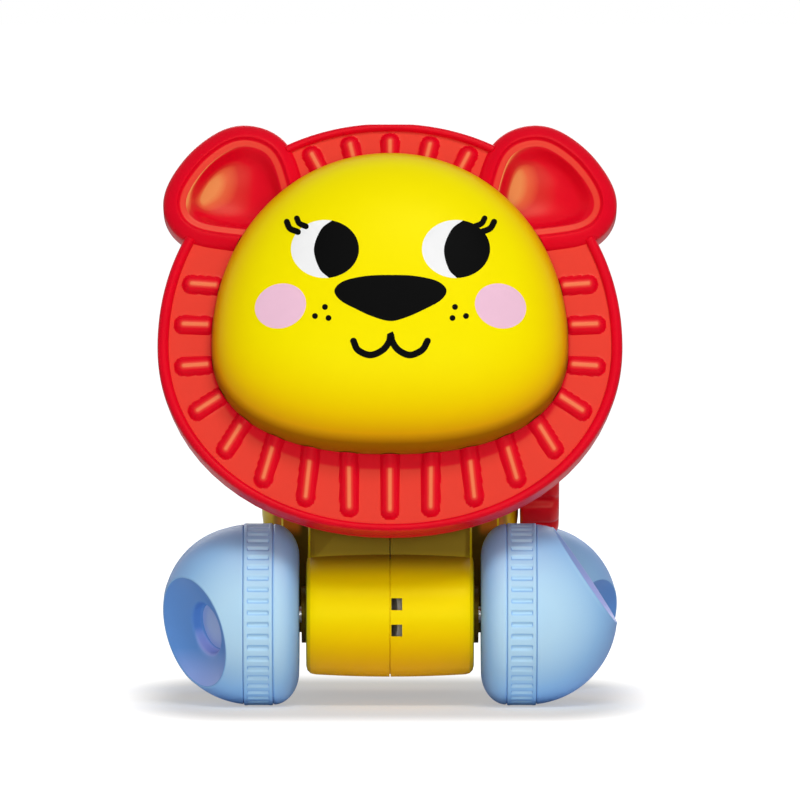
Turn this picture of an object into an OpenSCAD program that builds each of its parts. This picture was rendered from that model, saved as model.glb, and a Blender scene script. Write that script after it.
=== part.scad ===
// Musical lion toy on four wheels.
// The head sways as the front axle turns, and a wind-up music movement sits in the body.
// Millimetres. +X is the lion's left, +Y its back, +Z up, and the floor is at Z = 0.

/* [Shown] */
// the piece to draw, or all of them

/* [Head] */
// width of the mane without the ears
mane_w = 139.2; // [120:0.2:160]
// mane above its widest line
mane_top = 68.4; // [55:0.2:80]
// mane below its widest line
mane_bottom = 56.6; // [45:0.2:70]
// depth of the mane's side wall up to the flat ring
mane_depth = 10; // [7:0.5:16]
// wall of the head mouldings
head_wall = 2.4; // [1.8:0.1:4]
// height of the rim bead over the flat ring
bead_h = 1.9; // [1:0.1:4]
// width of the rim bead at the sides
bead_w = 3.4; // [2.5:0.1:6]
// how much thinner the rim bead is at the top and at the bottom
bead_less = 1; // [0:0.1:1.5]
// ribs counted from bottom centre to top centre along one side
rib_steps = 14; // [8:1:20]
// radius of a rib's round back
rib_r = 3; // [1.5:0.1:4]
// width of the face
face_w = 106.8; // [90:0.2:120]
// face above its widest line
face_top = 58.6; // [45:0.2:62]
// face below its widest line
face_bottom = 33; // [25:0.2:45]
// how far the face bulges out of the mane
face_bulge = 25; // [15:0.5:40]
// radius of an ear's corners
ear_r = 12.6; // [9:0.1:16]
// height of an ear's rim over the mane's back edge
ear_h = 12.6; // [10:0.1:18]
// lean of the head to the back
head_tilt = 14; // [0:1:25]
// widest line of the mane, distance to the front of the middle
head_front = 44; // [40:0.5:55]
// widest line of the mane over the floor
head_z = 106.2; // [95:0.2:120]

/* [Body] */
// width of the rounded upper body
torso_w = 78; // [70:1:90]
// length of the upper body
torso_l = 85; // [80:1:95]
// height of the upper body
torso_h = 60; // [56:1:66]
// back end of the upper body
torso_back = 79; // [70:0.5:90]
// middle of the upper body over the floor
torso_z = 74; // [72:1:80]
// width between the wheels
keel_w = 50.4; // [44:0.2:52]
// wall of the body halves
body_wall = 2.2; // [1.6:0.1:3]
// radius of the barrel around the front axle
barrel_r = 18.8; // [16:0.1:21]
// how much thinner the barrel is at its ends
barrel_crown = 0.7; // [0:0.1:2]
// half the open line between the two body halves
seam = 0.15; // [0.05:0.05:0.4]
// width and height of the two square windows beside the seam
window = 3.6; // [2:0.1:5]

/* [Wheels] */
// radius of the front wheels
wheel_r = 27.4; // [22:0.1:32]
// radius of the rear wheels
rear_r = 25.4; // [24:0.1:26]
// how much further out the rear wheels stand, on each side
rear_wider = 4.2; // [0:0.1:5]
// front axle, distance to the front of the middle
front_axle = 34; // [28:0.5:38]
// rear axle, distance to the back of the middle
rear_axle = 44; // [38:0.5:50]
// radius of the steel axles
axle_r = 2.5; // [2:0.1:3.5]
// bars around a tread band
tread_bars = 48; // [24:1:60]
// lean of the dish in a wheel's ball side
dish_lean = 34; // [10:1:45]
// rim radius of that dish
dish_r = 17; // [12:0.5:19]
// depth of that dish below its rim
dish_deep = 5.5; // [4:0.5:9]
// radius of the round recess in the dish
recess_r = 7.8; // [5:0.1:9]

/* [Head drive] */
// pivot of the swing arm over the floor
pivot_z = 20; // [18:0.5:22]
// swing arm, distance behind the front axle
arm_back = 19; // [18.5:0.5:20]
// radius of the pivot pin
pin_r = 2; // [1.5:0.1:3]
// radius of the tilted disc on the front axle
disc_r = 13; // [10:0.1:13.4]
// lean of that disc
disc_lean = 15.5; // [5:0.5:20]

/* [Music movement] */
// winding arbor, distance to the back of the middle
arbor_y = 16; // [14:0.5:18]
// winding arbor over the floor
arbor_z = 70; // [68:0.5:72]
// radius of the winding arbor
arbor_r = 2.5; // [2:0.1:3]
// radius of the winding knob
knob_r = 21; // [16:0.5:24]
// outer face of the knob, distance from the middle
knob_out = 51.3; // [46:0.1:60]
// tooth size of the gears
module_mm = 0.8; // [0.7:0.01:0.82]
// teeth of the spring barrel
barrel_teeth = 44; // [40:1:46]
// teeth of the music cylinder's pinion
pinion_teeth = 18; // [17:1:20]
// teeth of the music cylinder's wheel
wheel_teeth = 40; // [36:1:42]
// teeth of the governor's pinion
governor_teeth = 17; // [17:1:19]
// radius of the spring drum
drum_r = 14; // [11:0.1:14.4]
// radius of the music cylinder
cylinder_r = 9; // [7:0.1:9.4]
// tines of the comb
tines = 18; // [12:1:18]
// radius of the governor's fan
fan_r = 9; // [6:0.1:10]

/* [Clearances] */
// running fit of a shaft in a hole
run_fit = 0.06; // [0.02:0.01:0.1]
// fit of pieces that don't move on each other
still_fit = 0.02; // [0:0.01:0.05]
// backlash of the gears
backlash = 0.16; // [0.08:0.01:0.3]
// open space between a wheel and the boss of its axle
wheel_gap = 0.7; // [0.4:0.1:2]
// open space between the movement's plates and the body's wall
plate_gap = 0.4; // [0.3:0.1:1]

/* [Hidden] */
$fn = 48;

red = [0.86, 0.08, 0.12];
yellow = [0.97, 0.86, 0.05];
blue = [0.55, 0.74, 0.92];
steel = [0.74, 0.75, 0.77];
brass = [0.80, 0.66, 0.32];
white = [0.92, 0.92, 0.90];

front_at = [-front_axle, wheel_r];
rear_at = [rear_axle, rear_r];
arm_y = -front_axle + arm_back;
arm_t = 4.2;
// how much narrower keel and neck are than the barrel, on each side
slab_in = 0.6;
boss_out = keel_w / 2 + 1.4;
// inner face of the wheels
wheel_in = boss_out + wheel_gap;
rear_out = boss_out + rear_wider;
front_hub = concat([wheel_in], front_at);
rear_hub = concat([rear_out + wheel_gap], rear_at);
torso_y = torso_back - torso_l / 2;
arbor_at = [arbor_y, arbor_z];
cylinder_way = -20;
governor_way = -120;
cylinder_gap = module_mm * (barrel_teeth + pinion_teeth) / 2;
governor_gap = module_mm * (wheel_teeth + governor_teeth) / 2;
cylinder_at = arbor_at + cylinder_gap * [cos(cylinder_way), sin(cylinder_way)];
governor_at = cylinder_at + governor_gap * [cos(governor_way), sin(governor_way)];

// layout of the movement along X
plate_t = 2;
plate_in = keel_w / 2 - slab_in - body_wall - plate_gap - plate_t;
gear_t = 3;
gear_left_x = 1 - plate_in;
gear_right_x = plate_in - gear_t - 2;
shaft_r = 1.5;
pin_h = 0.8;
comb_t = 0.9;
tine_gap = 0.3;
plate_corners = arbor_at_offset([[8, -35], [26, -34], [48, -12.5], [50, -6], [-2, 21], [-14, -16]]);
pillar_at = arbor_at_offset([[-14, -16], [-2, 21], [26, -34]]);
mount_at = arbor_at_offset([[-8.5, -9], [1, 17], [44, -9]]);
body_screw_at = [[4, 19], [59, 36], [66, 76], [38, 96], [-31, 64]];

function arbor_at_offset(list) = [for (p = list) arbor_at + p];

// outline points

function egg(t, half, top, bottom, n_top, n_bottom) =
    let (c = cos(t), s = sin(t), n = s < 0 ? n_bottom : n_top, b = s < 0 ? bottom : top)
    [half * sign(c) * pow(abs(c), 2 / n), b * sign(s) * pow(abs(s), 2 / n)];

function mane_edge(t, inset) =
    egg(t, mane_w / 2 - inset, mane_top - inset, mane_bottom - inset, 2.06, 2.07);

function face_edge(t, inset) =
    egg(t, face_w / 2 - inset, face_top - inset, face_bottom - inset, 2.04, 2.38);

function mane_ring(inset, w, n) =
    [for (i = [0 : n - 1]) let (p = mane_edge(i * 360 / n, inset)) [p[0], p[1], w]];

function bead_at(t) = bead_w - bead_less * pow(sin(t), 2);

function bead_ring(share, w, n) =
    [for (i = [0 : n - 1]) let (t = i * 360 / n, p = mane_edge(t, share * bead_at(t))) [p[0], p[1], w]];

function face_ring(inset, w, n) =
    [for (i = [0 : n - 1]) let (p = face_edge(i * 360 / n, inset)) [p[0], p[1], w]];

// middle of the ring between face and rim bead
function ring_mid(t) = (face_edge(t, 0) + mane_edge(t, bead_w)) / 2;

// corners of a convex outline, rounded, with n steps to each corner
function rounded(corners, r, n) =
    let (m = len(corners))
    [for (i = [0 : m - 1])
        let (p = corners[i], a = corners[(i + m - 1) % m], b = corners[(i + 1) % m])
        let (from = atan2(p[1] - a[1], p[0] - a[0]) - 90)
        let (turn = (atan2(b[1] - p[1], b[0] - p[0]) - 90 - from + 720) % 360)
        for (k = [0 : n]) p + r * [cos(from + turn * k / n), sin(from + turn * k / n)]];

function lifted(points, w) = [for (p = points) [p[0], p[1], w]];

// involute gear outline, one tooth on the +X side
function roll(r_base, r) = tan(acos(r_base / r)) * 180 / PI - acos(r_base / r);

function gear_points(teeth) =
    let (rp = module_mm * teeth / 2, rb = rp * cos(20))
    let (root = rp - 1.2 * module_mm, tip = rp + 0.92 * module_mm)
    let (half = 90 / teeth - backlash / 4 / rp * 180 / PI + roll(rb, rp))
    let (low = max(rb + 0.001, root))
    let (radii = [low, (low + rp) / 2, rp, (rp + tip) / 2, tip])
    [for (i = [0 : teeth - 1]) let (at = i * 360 / teeth) each concat(
        [root * [cos(at - half - 0.4), sin(at - half - 0.4)]],
        [for (r = radii) let (a = at - half + roll(rb, r)) r * [cos(a), sin(a)]],
        [for (k = [4 : -1 : 0]) let (r = radii[k], a = at + half - roll(rb, r)) r * [cos(a), sin(a)]],
        [root * [cos(at + half + 0.4), sin(at + half + 0.4)]])];

// shared builders

// stacked rings as one closed solid
module loft(rings) {
    n = len(rings[0]);
    m = len(rings);
    sides = [for (k = [0 : m - 2]) for (i = [0 : n - 1]) let (j = (i + 1) % n) each
        [[k * n + i, k * n + n + i, k * n + n + j], [k * n + i, k * n + n + j, k * n + j]]];
    low = [for (i = [0 : n - 1]) i];
    high = [for (i = [0 : n - 1]) m * n - 1 - i];
    polyhedron([for (r = rings) each r], concat([low], sides, [high]), 4);
}

// rings around a closed section, as one hoop
module hoop(rings) {
    n = len(rings[0]);
    m = len(rings);
    sides = [for (k = [0 : m - 1]) for (i = [0 : n - 1])
        let (j = (i + 1) % n, a = k * n, b = ((k + 1) % m) * n) each
        [[a + i, b + i, b + j], [a + i, b + j, a + j]]];
    polyhedron([for (r = rings) each r], sides, 4);
}

// children drawn with Y, Z across and X as their height
module along_x(x, at) {
    translate([x, at[0], at[1]])
        rotate([90, 0, 90])
            children();
}

// children drawn in the head's own frame: across, up its face, out of its face
module in_head() {
    translate([0, -head_front, head_z])
        rotate([90 - head_tilt, 0, 0])
            children();
}

module tube(r_out, r_in, h) {
    difference() {
        cylinder(r = r_out, h = h);
        translate([0, 0, -1])
            cylinder(r = r_in, h = h + 2);
    }
}

// pan head screw: its head's seat is at zero, its shank points along +Z
module screw(r, long, head_r, head_h) {
    difference() {
        union() {
            cylinder(r = r, h = long);
            translate([0, 0, -head_h])
                cylinder(r = head_r, h = head_h);
        }
        for (a = [0, 90])
            rotate([0, 0, a])
                translate([-head_r * 0.6, -0.3, -head_h - 1])
                    cube([head_r * 1.2, 0.6, 1 + head_h * 0.5]);
    }
}

// head

ear_corners = [[55.5, 43.5], [50.6, 50.7], [44.3, 55.4], [40.9, 54.6], [37.4, 41.3]];
face_sides = 56;
opening_inset = 9;
head_screw_way = [10, 170, -46, -134];
head_screw_r = 1.35;
rib_table = [for (i = 0, s = 0; i <= 60; s = s + norm(ring_mid(3 * i - 87) - ring_mid(3 * i - 90)), i = i + 1)
    [s, 3 * i - 90]];
rib_gap = rib_table[60][0] / rib_steps;
// ribs below the ears
ear_from = 0.62;
// ribs between the ears: how many on each side of the middle one, their distance, and where they point to
top_ribs = 2;
top_pitch = 11.4;
top_aim = [0, 14];
top_long = 6;
// distance from a rib's end to the rim bead, at the sides and at the top
rib_short = 1.1;
top_short = 0.3;

module rib(a, b) {
    hull()
        for (p = [a, b])
            translate([p[0], p[1], mane_depth - 1])
                sphere(r = rib_r, $fn = 10);
}

module side_rib(t) {
    rib(face_edge(t, 1.2 - rib_r + 3.8 * pow(sin(t), 2)), mane_edge(t, bead_at(t) + rib_r + rib_short));
}

module top_rib(x) {
    inset = bead_at(90) + rib_r + top_short;
    b = mane_edge(acos(x / (mane_w / 2 - inset)), inset);
    rib(b + top_long * (top_aim - b) / norm(top_aim - b), b);
}

module ear_stack(r1, r2, from, h) {
    hull()
        for (p = ear_corners)
            translate([p[0], p[1], from])
                cylinder(r1 = r1, r2 = r2, h = h, $fn = 28);
}

module ear_block() {
    hull() {
        ear_stack(ear_r, ear_r, 0, ear_h - 2.6);
        ear_stack(ear_r - 3.8, ear_r - 3.8, 0, ear_h);
    }
}

// bevel and bowl in front, hollow behind
module ear_cuts() {
    ear_stack(ear_r - 5.2, ear_r - 4.4, ear_h - 1.2, 1.3);
    hull()
        for (p = ear_corners)
            translate([p[0], p[1], ear_h - 1.2])
                scale([1, 1, 0.8])
                    sphere(r = ear_r - 7.2, $fn = 20);
    ear_stack(ear_r - 2.2, ear_r - 2.2, -1, 5);
}

// an ear, open where the face's neck and its catch go through the ring
module ear_part() {
    difference() {
        ear_block();
        translate([0, 0, -1])
            linear_extrude(mane_depth + 2)
                polygon([for (p = face_ring(opening_inset - 1.2, 0, 64)) [p[0], p[1]]]);
    }
}

module mane() {
    d = mane_depth;
    n = 64;
    section = [
        face_ring(opening_inset, d - head_wall, n),
        mane_ring(head_wall, d - head_wall, n),
        mane_ring(head_wall, 0, n),
        mane_ring(0.8, 0, n),
        mane_ring(0, 1.5, n),
        mane_ring(0, d - 0.8, n),
        bead_ring(0.15, d + bead_h * 0.4, n),
        bead_ring(0.28, d + bead_h * 0.88, n),
        bead_ring(0.5, d + bead_h, n),
        bead_ring(0.75, d + bead_h * 0.75, n),
        bead_ring(1, d, n),
        face_ring(opening_inset, d, n)];
    color(red)
        in_head()
            difference() {
                union() {
                    hoop(section);
                    ear_part();
                    mirror([1, 0, 0])
                        ear_part();
                    for (k = [0 : rib_steps * ear_from]) {
                        side_rib(lookup(k * rib_gap, rib_table));
                        mirror([1, 0, 0])
                            side_rib(lookup(k * rib_gap, rib_table));
                    }
                    for (k = [-top_ribs : top_ribs])
                        top_rib(k * top_pitch);
                    for (t = head_screw_way)
                        translate([ring_mid(t)[0], ring_mid(t)[1], 0.1])
                            cylinder(r = 3.2, h = d - 1, $fn = 24);
                }
                ear_cuts();
                mirror([1, 0, 0])
                    ear_cuts();
                translate([0, 0, d])
                    linear_extrude(40)
                        polygon([for (p = face_ring(-0.1, 0, face_sides)) [p[0], p[1]]]);
                for (t = head_screw_way)
                    translate([ring_mid(t)[0], ring_mid(t)[1], -1])
                        cylinder(r = head_screw_r + still_fit, h = 8, $fn = 24);
            }
}

// dome rings: a superellipse section, with its top a little above the widest line
function dome_ring(inset, high, base, a, n) =
    let (f = pow(cos(a), 2 / 2.5), h = pow(sin(a), 2 / 2.5))
    [for (i = [0 : n - 1]) let (p = face_edge(i * 360 / n, inset))
        [p[0] * f, p[1] * f + (1 - f) * 8, base + high * h]];

module face_shell() {
    n = face_sides;
    d = mane_depth;
    in_high = face_bulge - head_wall;
    rings = [
        for (a = [84, 62, 44, 28, 14, 5]) dome_ring(head_wall, in_high, d + 0.1, a, n),
        face_ring(head_wall, d + 1.8, n),
        face_ring(opening_inset + 1.8, d + 1.8, n),
        face_ring(opening_inset + 1.8, d - head_wall - 2, n),
        face_ring(opening_inset - 0.7, d - head_wall - 1.8, n),
        face_ring(opening_inset - 0.7, d - head_wall - 0.3, n),
        face_ring(opening_inset + 0.3, d - head_wall - 0.1, n),
        face_ring(opening_inset + 0.3, d + 0.05, n),
        face_ring(0.2, d + 0.05, n),
        for (a = [1, 6, 13, 22, 32, 43, 55, 67, 78, 86]) dome_ring(0, face_bulge, d, a, n)];
    color(yellow)
        in_head()
            loft(rings);
}

cover_back = 5;
cover_step = 2.5;
pad_hole = 11;
pad_v = -3;

module head_back_cover() {
    n = 72;
    color(red)
        in_head()
            difference() {
                union() {
                    translate([0, 0, -cover_step])
                        linear_extrude(cover_step - still_fit)
                            polygon([for (p = mane_ring(0.6, 0, n)) [p[0], p[1]]]);
                    translate([0, 0, -cover_back])
                        linear_extrude(cover_step + 0.5)
                            polygon([for (p = mane_ring(20, 0, n)) [p[0], p[1]]]);
                    for (x = [-pad_hole, pad_hole])
                        translate([x, pad_v, -cover_back])
                            cylinder(r = 3.4, h = cover_back + 3);
                }
                difference() {
                    translate([0, 0, -cover_step])
                        linear_extrude(cover_step + 1)
                            polygon([for (p = mane_ring(22.5, 0, n)) [p[0], p[1]]]);
                    for (x = [-pad_hole, pad_hole])
                        translate([x, pad_v, -cover_back])
                            cylinder(r = 3.4, h = cover_back + 3);
                }
                for (t = head_screw_way)
                    translate([ring_mid(t)[0], ring_mid(t)[1], -cover_step - 1])
                        cylinder(r = head_screw_r + 0.15, h = cover_step + 2);
                for (x = [-pad_hole, pad_hole])
                    translate([x, pad_v, -cover_back - 1])
                        cylinder(r = head_screw_r + still_fit, h = cover_back + 3);
            }
}

module head_screws() {
    color(steel)
        in_head()
            for (t = head_screw_way)
                translate([ring_mid(t)[0], ring_mid(t)[1], -cover_step])
                    screw(head_screw_r, 8, 2.6, 1.6);
}

pad_t = 3;

// a point of the head's frame, seen from the side
function side_point(v, w) =
    [-head_front + v * sin(head_tilt) - w * cos(head_tilt), head_z + v * cos(head_tilt) + w * sin(head_tilt)];

module swing_arm() {
    hub_from = arm_y - arm_t / 2;
    fork_z = wheel_r + disc_r + 1.5;
    top_z = head_z + 6;
    color(white)
        difference() {
            union() {
                translate([0, hub_from, pivot_z])
                    rotate([-90, 0, 0])
                        cylinder(r = 5.5, h = arm_t);
                translate([-6, hub_from, pivot_z])
                    cube([12, arm_t, top_z - pivot_z]);
                along_x(-4, [0, 0])
                    linear_extrude(8)
                        polygon([[arm_y, head_z - 26], side_point(-16, -cover_back - 1),
                            side_point(9, -cover_back - 1), [arm_y, top_z]]);
                in_head()
                    translate([-16, -17, -cover_back - pad_t])
                        cube([32, 27, pad_t]);
                for (x = [-4.2, 1.6])
                    translate([x, -front_axle - 2, fork_z])
                        cube([2.6, arm_back + 2, 4]);
            }
            translate([0, hub_from - 1, pivot_z])
                rotate([-90, 0, 0])
                    cylinder(r = pin_r + run_fit, h = arm_t + 2);
            for (x = [-pad_hole, pad_hole])
                in_head()
                    translate([x, pad_v, -cover_back - pad_t - 1])
                        cylinder(r = head_screw_r + 0.15, h = pad_t + 2);
        }
}

module arm_screws() {
    color(steel)
        in_head()
            for (x = [-pad_hole, pad_hole])
                translate([x, pad_v, -cover_back - pad_t])
                    screw(head_screw_r, pad_t + 4.5, 2.6, 1.6);
}

// body

torso_end = 0.995;
flank_round = 8;

function torso_ring(f, grow, from, n) =
    let (round = 3.2, c = pow(1 - pow(f, flank_round), 1 / flank_round))
    [for (i = [0 : n - 1])
        let (p = egg(i * 360 / n, torso_l / 2 + grow, torso_h / 2 + grow, torso_h / 2 + grow, round, round))
        [torso_y + p[0] * c, torso_z + p[1] * c, f < 0.01 ? from : f / torso_end * (torso_w / 2 + grow)]];

module torso_solid(grow, from) {
    steps = [0, 0.5, 0.68, 0.78, 0.85, 0.9, 0.94, 0.97, 0.985, torso_end];
    loft([for (f = steps) torso_ring(f, grow, from, 48)]);
}

// keel under the upper body and neck in front of it
keel_corners = [[-front_axle + 10, 17], [rear_axle + 13, 17], [arbor_y + 43, 55], [-front_axle + 10, 55]];
neck_corners = [[-front_axle + 2, 36], [0, 36], [0, 72], [-front_axle + 3, 69]];
corner_r = 7;
slab_x = keel_w / 2 - slab_in;

// side panels between the front and the rear wheels
panel_r = 5;
panel_gap = 3.6;
panel_x = 33;
panel_front = wheel_r - front_axle + panel_gap + panel_r;
panel_back = rear_axle - rear_r - panel_gap - panel_r;
panel_corners = [[panel_front, 25], [panel_back, 25], [panel_back, 58], [panel_front, 58]];

module slab_solid(corners, r, x, from) {
    loft([
        lifted(rounded(corners, r, 4), from),
        lifted(rounded(corners, r, 4), x - 2),
        lifted(rounded(corners, r - 0.6, 4), x - 0.6),
        lifted(rounded(corners, r - 2, 4), x)]);
}

// keel, neck and side panels
module lower_body(grow, from) {
    slab_solid(keel_corners, corner_r + grow, slab_x + grow, from);
    slab_solid(neck_corners, corner_r + grow, slab_x + grow, from);
    slab_solid(panel_corners, panel_r + grow, panel_x + grow, from);
}

module barrel_solid() {
    x = keel_w / 2;
    n = 8;
    crown = [for (i = [0 : n]) let (f = i / n)
        [barrel_r - barrel_crown * f * f, seam + f * (x - 2.5 - seam)]];
    edge = [for (a = [30, 60, 90]) [barrel_r - barrel_crown - 2.5 + 2.5 * cos(a), x - 2.5 + 2.5 * sin(a)]];
    rotate_extrude()
        polygon(concat([[0, seam]], crown, edge, [[0, x]]));
}

bush_r = 4.5;
bush_in = body_wall + slab_in;
boss_r = 8.6;

// the upper body with an arch cut out over the rear wheel
arch_gap = 1.2;

module torso_over_wheel(grow, from) {
    difference() {
        torso_solid(grow, from);
        translate([rear_at[0], rear_at[1], slab_x + grow])
            cylinder(r = rear_r + arch_gap - grow, h = torso_w / 2);
    }
}

// one hollow half, seam side at the bottom of its own frame; children stay solid inside it
module hollow_half() {
    wall_x = keel_w / 2 - bush_in;
    difference() {
        union() {
            torso_over_wheel(0, seam);
            lower_body(0, seam);
            translate(front_at)
                barrel_solid();
            translate(front_at)
                cylinder(r = boss_r, h = boss_out);
            translate(rear_at)
                cylinder(r = boss_r - 2, h = rear_out);
        }
        difference() {
            union() {
                torso_over_wheel(-body_wall, -1);
                lower_body(-body_wall, -1);
                translate([front_at[0], front_at[1], -1])
                    cylinder(r = barrel_r - barrel_crown - body_wall, h = wall_x + 1);
            }
            for (y = [arm_y - arm_t / 2 - 3.3, arm_y + arm_t / 2 + 0.3])
                translate([y, 0, -2])
                    cube([3, pivot_z + 6, 50]);
            for (p = body_screw_at)
                translate([p[0], p[1], -2])
                    cylinder(r = screw_boss, h = 60);
            children();
        }
        translate([arm_y - 7, 66, -1])
            cube([14, 30, 20]);
        for (at = [front_at, rear_at])
            translate([at[0], at[1], -1])
                cylinder(r = bush_r + still_fit, h = rear_out + 2);
    }
    for (p = body_screw_at)
        translate(p)
            cylinder(r = screw_boss, h = 1);
}

screw_seat = 12;
screw_boss = 4.2;

module body_left() {
    color(yellow)
        along_x(0, [0, 0])
            difference() {
                hollow_half()
                    for (p = mount_at)
                        translate([p[0], p[1], plate_in + plate_t + still_fit])
                            cylinder(r = 3, h = 40);
                for (p = body_screw_at)
                    translate([p[0], p[1], -1])
                        cylinder(r = head_screw_r + still_fit, h = 12);
                for (p = mount_at)
                    translate([p[0], p[1], plate_in])
                        cylinder(r = head_screw_r + still_fit, h = 11);
                for (z = [29.5, 21.6])
                    translate([-front_axle - barrel_r - 2, z, 0.4])
                        cube([6, window, window * 0.9]);
                translate([arm_y - 12, pivot_z, 0])
                    rotate([0, 90, 0])
                        cylinder(r = pin_r + still_fit, h = 24);
                translate([arbor_y, arbor_z, torso_w / 2 - 8])
                    cylinder(r = arbor_r + 0.6, h = 12);
            }
}

module body_right() {
    color(yellow)
        mirror([1, 0, 0])
            along_x(0, [0, 0])
                difference() {
                    hollow_half();
                    for (p = body_screw_at) {
                        translate([p[0], p[1], -1])
                            cylinder(r = head_screw_r + 0.15, h = 40);
                        translate([p[0], p[1], screw_seat])
                            cylinder(r = 2.8, h = 40);
                    }
                    translate([arm_y - 12, pivot_z, 0])
                        rotate([0, 90, 0])
                            cylinder(r = pin_r + still_fit, h = 24);
                    for (a = [0 : 60 : 300])
                        translate([torso_y + 8 + 9 * cos(a), torso_z + 9 * sin(a), torso_w / 2 - 8])
                            cylinder(r = 1.8, h = 12);
                    translate([torso_y + 8, torso_z, torso_w / 2 - 8])
                        cylinder(r = 1.8, h = 12);
                }
}

module body_screws() {
    color(steel)
        for (p = body_screw_at)
            translate([-screw_seat, p[0], p[1]])
                rotate([0, 90, 0])
                    screw(head_screw_r, screw_seat + 9, 2.5, 1.6);
}

module pivot_pin() {
    color(steel)
        translate([0, arm_y - arm_t / 2 - 3.2, pivot_z])
            rotate([-90, 0, 0])
                cylinder(r = pin_r, h = arm_t + 6.4);
}

module bush_pair(at, hole, out) {
    from = keel_w / 2 - bush_in;
    for (side = [0, 1])
        mirror([side, 0, 0])
            along_x(from, at)
                difference() {
                    union() {
                        cylinder(r = bush_r, h = out - from);
                        translate([0, 0, -1])
                            cylinder(r = bush_r + 1.2, h = 1);
                    }
                    translate([0, 0, -2])
                        cylinder(r = hole, h = out - from + 4);
                }
}

module front_bushes() {
    color(white)
        bush_pair(front_at, axle_r + run_fit, boss_out);
}

module rear_bushes() {
    color(white)
        bush_pair(rear_at, axle_r + run_fit, rear_out);
}

// wheels, drawn for the front size with their inner face at zero and their ball side up

wheel_full = 27.4;
ball_r = 27.2;
ball_at = 13.9;
tread_from = 7.8;
tread_to = 16.7;
spigot_r = 24.4;
axle_past = 18.6;

module wheel_cap(hole) {
    flank = [for (a = [0 : 10 : 90]) [ball_r - 10 + 10 * sin(a), tread_from * (1 - cos(a))]];
    inner = [for (a = [80 : -20 : 0]) [ball_r - 12.4 + 8.6 * sin(a), 2.2 + 6 * (1 - cos(a))]];
    rotate_extrude()
        polygon(concat([[hole, 0]], flank, [[spigot_r, tread_from], [spigot_r, 13.6], [22.4, 13.6]],
            inner, [[6.4, 2.2], [6.4, 15.8], [hole, 15.8]]));
}

module wheel_tread() {
    pitch = 360 / tread_bars;
    bars = [for (i = [0 : tread_bars - 1])
        for (k = [[-0.38, 26.4], [-0.3, 27.35], [0.3, 27.35], [0.38, 26.4]])
            let (a = (i + k[0]) * pitch) k[1] * [cos(a), sin(a)]];
    from = tread_from + 0.05;
    to = tread_to - 0.05;
    land = 1.3;
    rotate_extrude()
        polygon([[spigot_r + 0.05, from], [wheel_full - 0.35, from], [wheel_full, from + 0.35],
            [wheel_full, from + land], [wheel_full - 0.5, from + land], [wheel_full - 0.5, to - land],
            [wheel_full, to - land], [wheel_full, to - 0.35], [wheel_full - 0.35, to],
            [spigot_r + 0.05, to]]);
    translate([0, 0, from + land - 0.1])
        linear_extrude(to - from - 2 * land + 0.2)
            difference() {
                polygon(bars);
                circle(r = spigot_r + 0.4);
            }
}

module wheel_dome(hole) {
    rim_at = sqrt(ball_r * ball_r - dish_r * dish_r);
    floor_at = rim_at - dish_deep;
    hollow_r = (dish_r * dish_r + dish_deep * dish_deep) / (2 * dish_deep);
    skin = 2.2;
    difference() {
        union() {
            difference() {
                translate([0, 0, ball_at])
                    sphere(r = ball_r);
                translate([-40, -40, tread_to - 60])
                    cube([80, 80, 60]);
                difference() {
                    translate([0, 0, ball_at])
                        sphere(r = ball_r - skin);
                    translate([0, 0, ball_at])
                        rotate([0, dish_lean, 0])
                            translate([0, 0, floor_at + hollow_r])
                                sphere(r = hollow_r + skin);
                    translate([0, 0, ball_at])
                        rotate([0, dish_lean, 0])
                            translate([0, 0, floor_at - 2 * skin])
                                cylinder(r = recess_r + skin, h = 20);
                }
            }
            translate([0, 0, tread_to - 2.6])
                tube(spigot_r, spigot_r - 1.8, 6.6);
            translate([0, 0, 16.2])
                cylinder(r = 5.6, h = 10);
        }
        translate([0, 0, ball_at])
            rotate([0, dish_lean, 0])
                translate([0, 0, floor_at + hollow_r])
                    sphere(r = hollow_r);
        translate([0, 0, ball_at])
            rotate([0, dish_lean, 0])
                translate([0, 0, floor_at - skin])
                    cylinder(r = recess_r, h = 20);
        translate([0, 0, 10])
            cylinder(r = hole, h = axle_past - 10 + 0.1);
    }
}

// children placed as a wheel: side +1 is the lion's left
module as_wheel(side, hub, size, phase) {
    translate([side * hub[0], hub[1], hub[2]])
        rotate([0, side * 90, 0])
            rotate([0, 0, phase])
                scale(size / wheel_full)
                    children();
}

front_hole = (axle_r + still_fit) * wheel_full / wheel_r;
rear_hole = (axle_r + still_fit) * wheel_full / rear_r;
// turn of the four dishes in the pose of the photograph
front_left_turn = 183;
front_right_turn = 245.5;
rear_left_turn = 302;
rear_right_turn = 110;

module front_left_dome() {
    color(blue)
        as_wheel(1, front_hub, wheel_r, front_left_turn)
            wheel_dome(front_hole);
}

module front_left_tread() {
    color(blue)
        as_wheel(1, front_hub, wheel_r, 0)
            wheel_tread();
}

module front_left_cap() {
    color(blue)
        as_wheel(1, front_hub, wheel_r, 0)
            wheel_cap(front_hole);
}

module front_right_dome() {
    color(blue)
        as_wheel(-1, front_hub, wheel_r, front_right_turn)
            wheel_dome(front_hole);
}

module front_right_tread() {
    color(blue)
        as_wheel(-1, front_hub, wheel_r, 0)
            wheel_tread();
}

module front_right_cap() {
    color(blue)
        as_wheel(-1, front_hub, wheel_r, 0)
            wheel_cap(front_hole);
}

module rear_left_dome() {
    color(blue)
        as_wheel(1, rear_hub, rear_r, rear_left_turn)
            wheel_dome(rear_hole);
}

module rear_left_tread() {
    color(blue)
        as_wheel(1, rear_hub, rear_r, 0)
            wheel_tread();
}

module rear_left_cap() {
    color(blue)
        as_wheel(1, rear_hub, rear_r, 0)
            wheel_cap(rear_hole);
}

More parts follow.
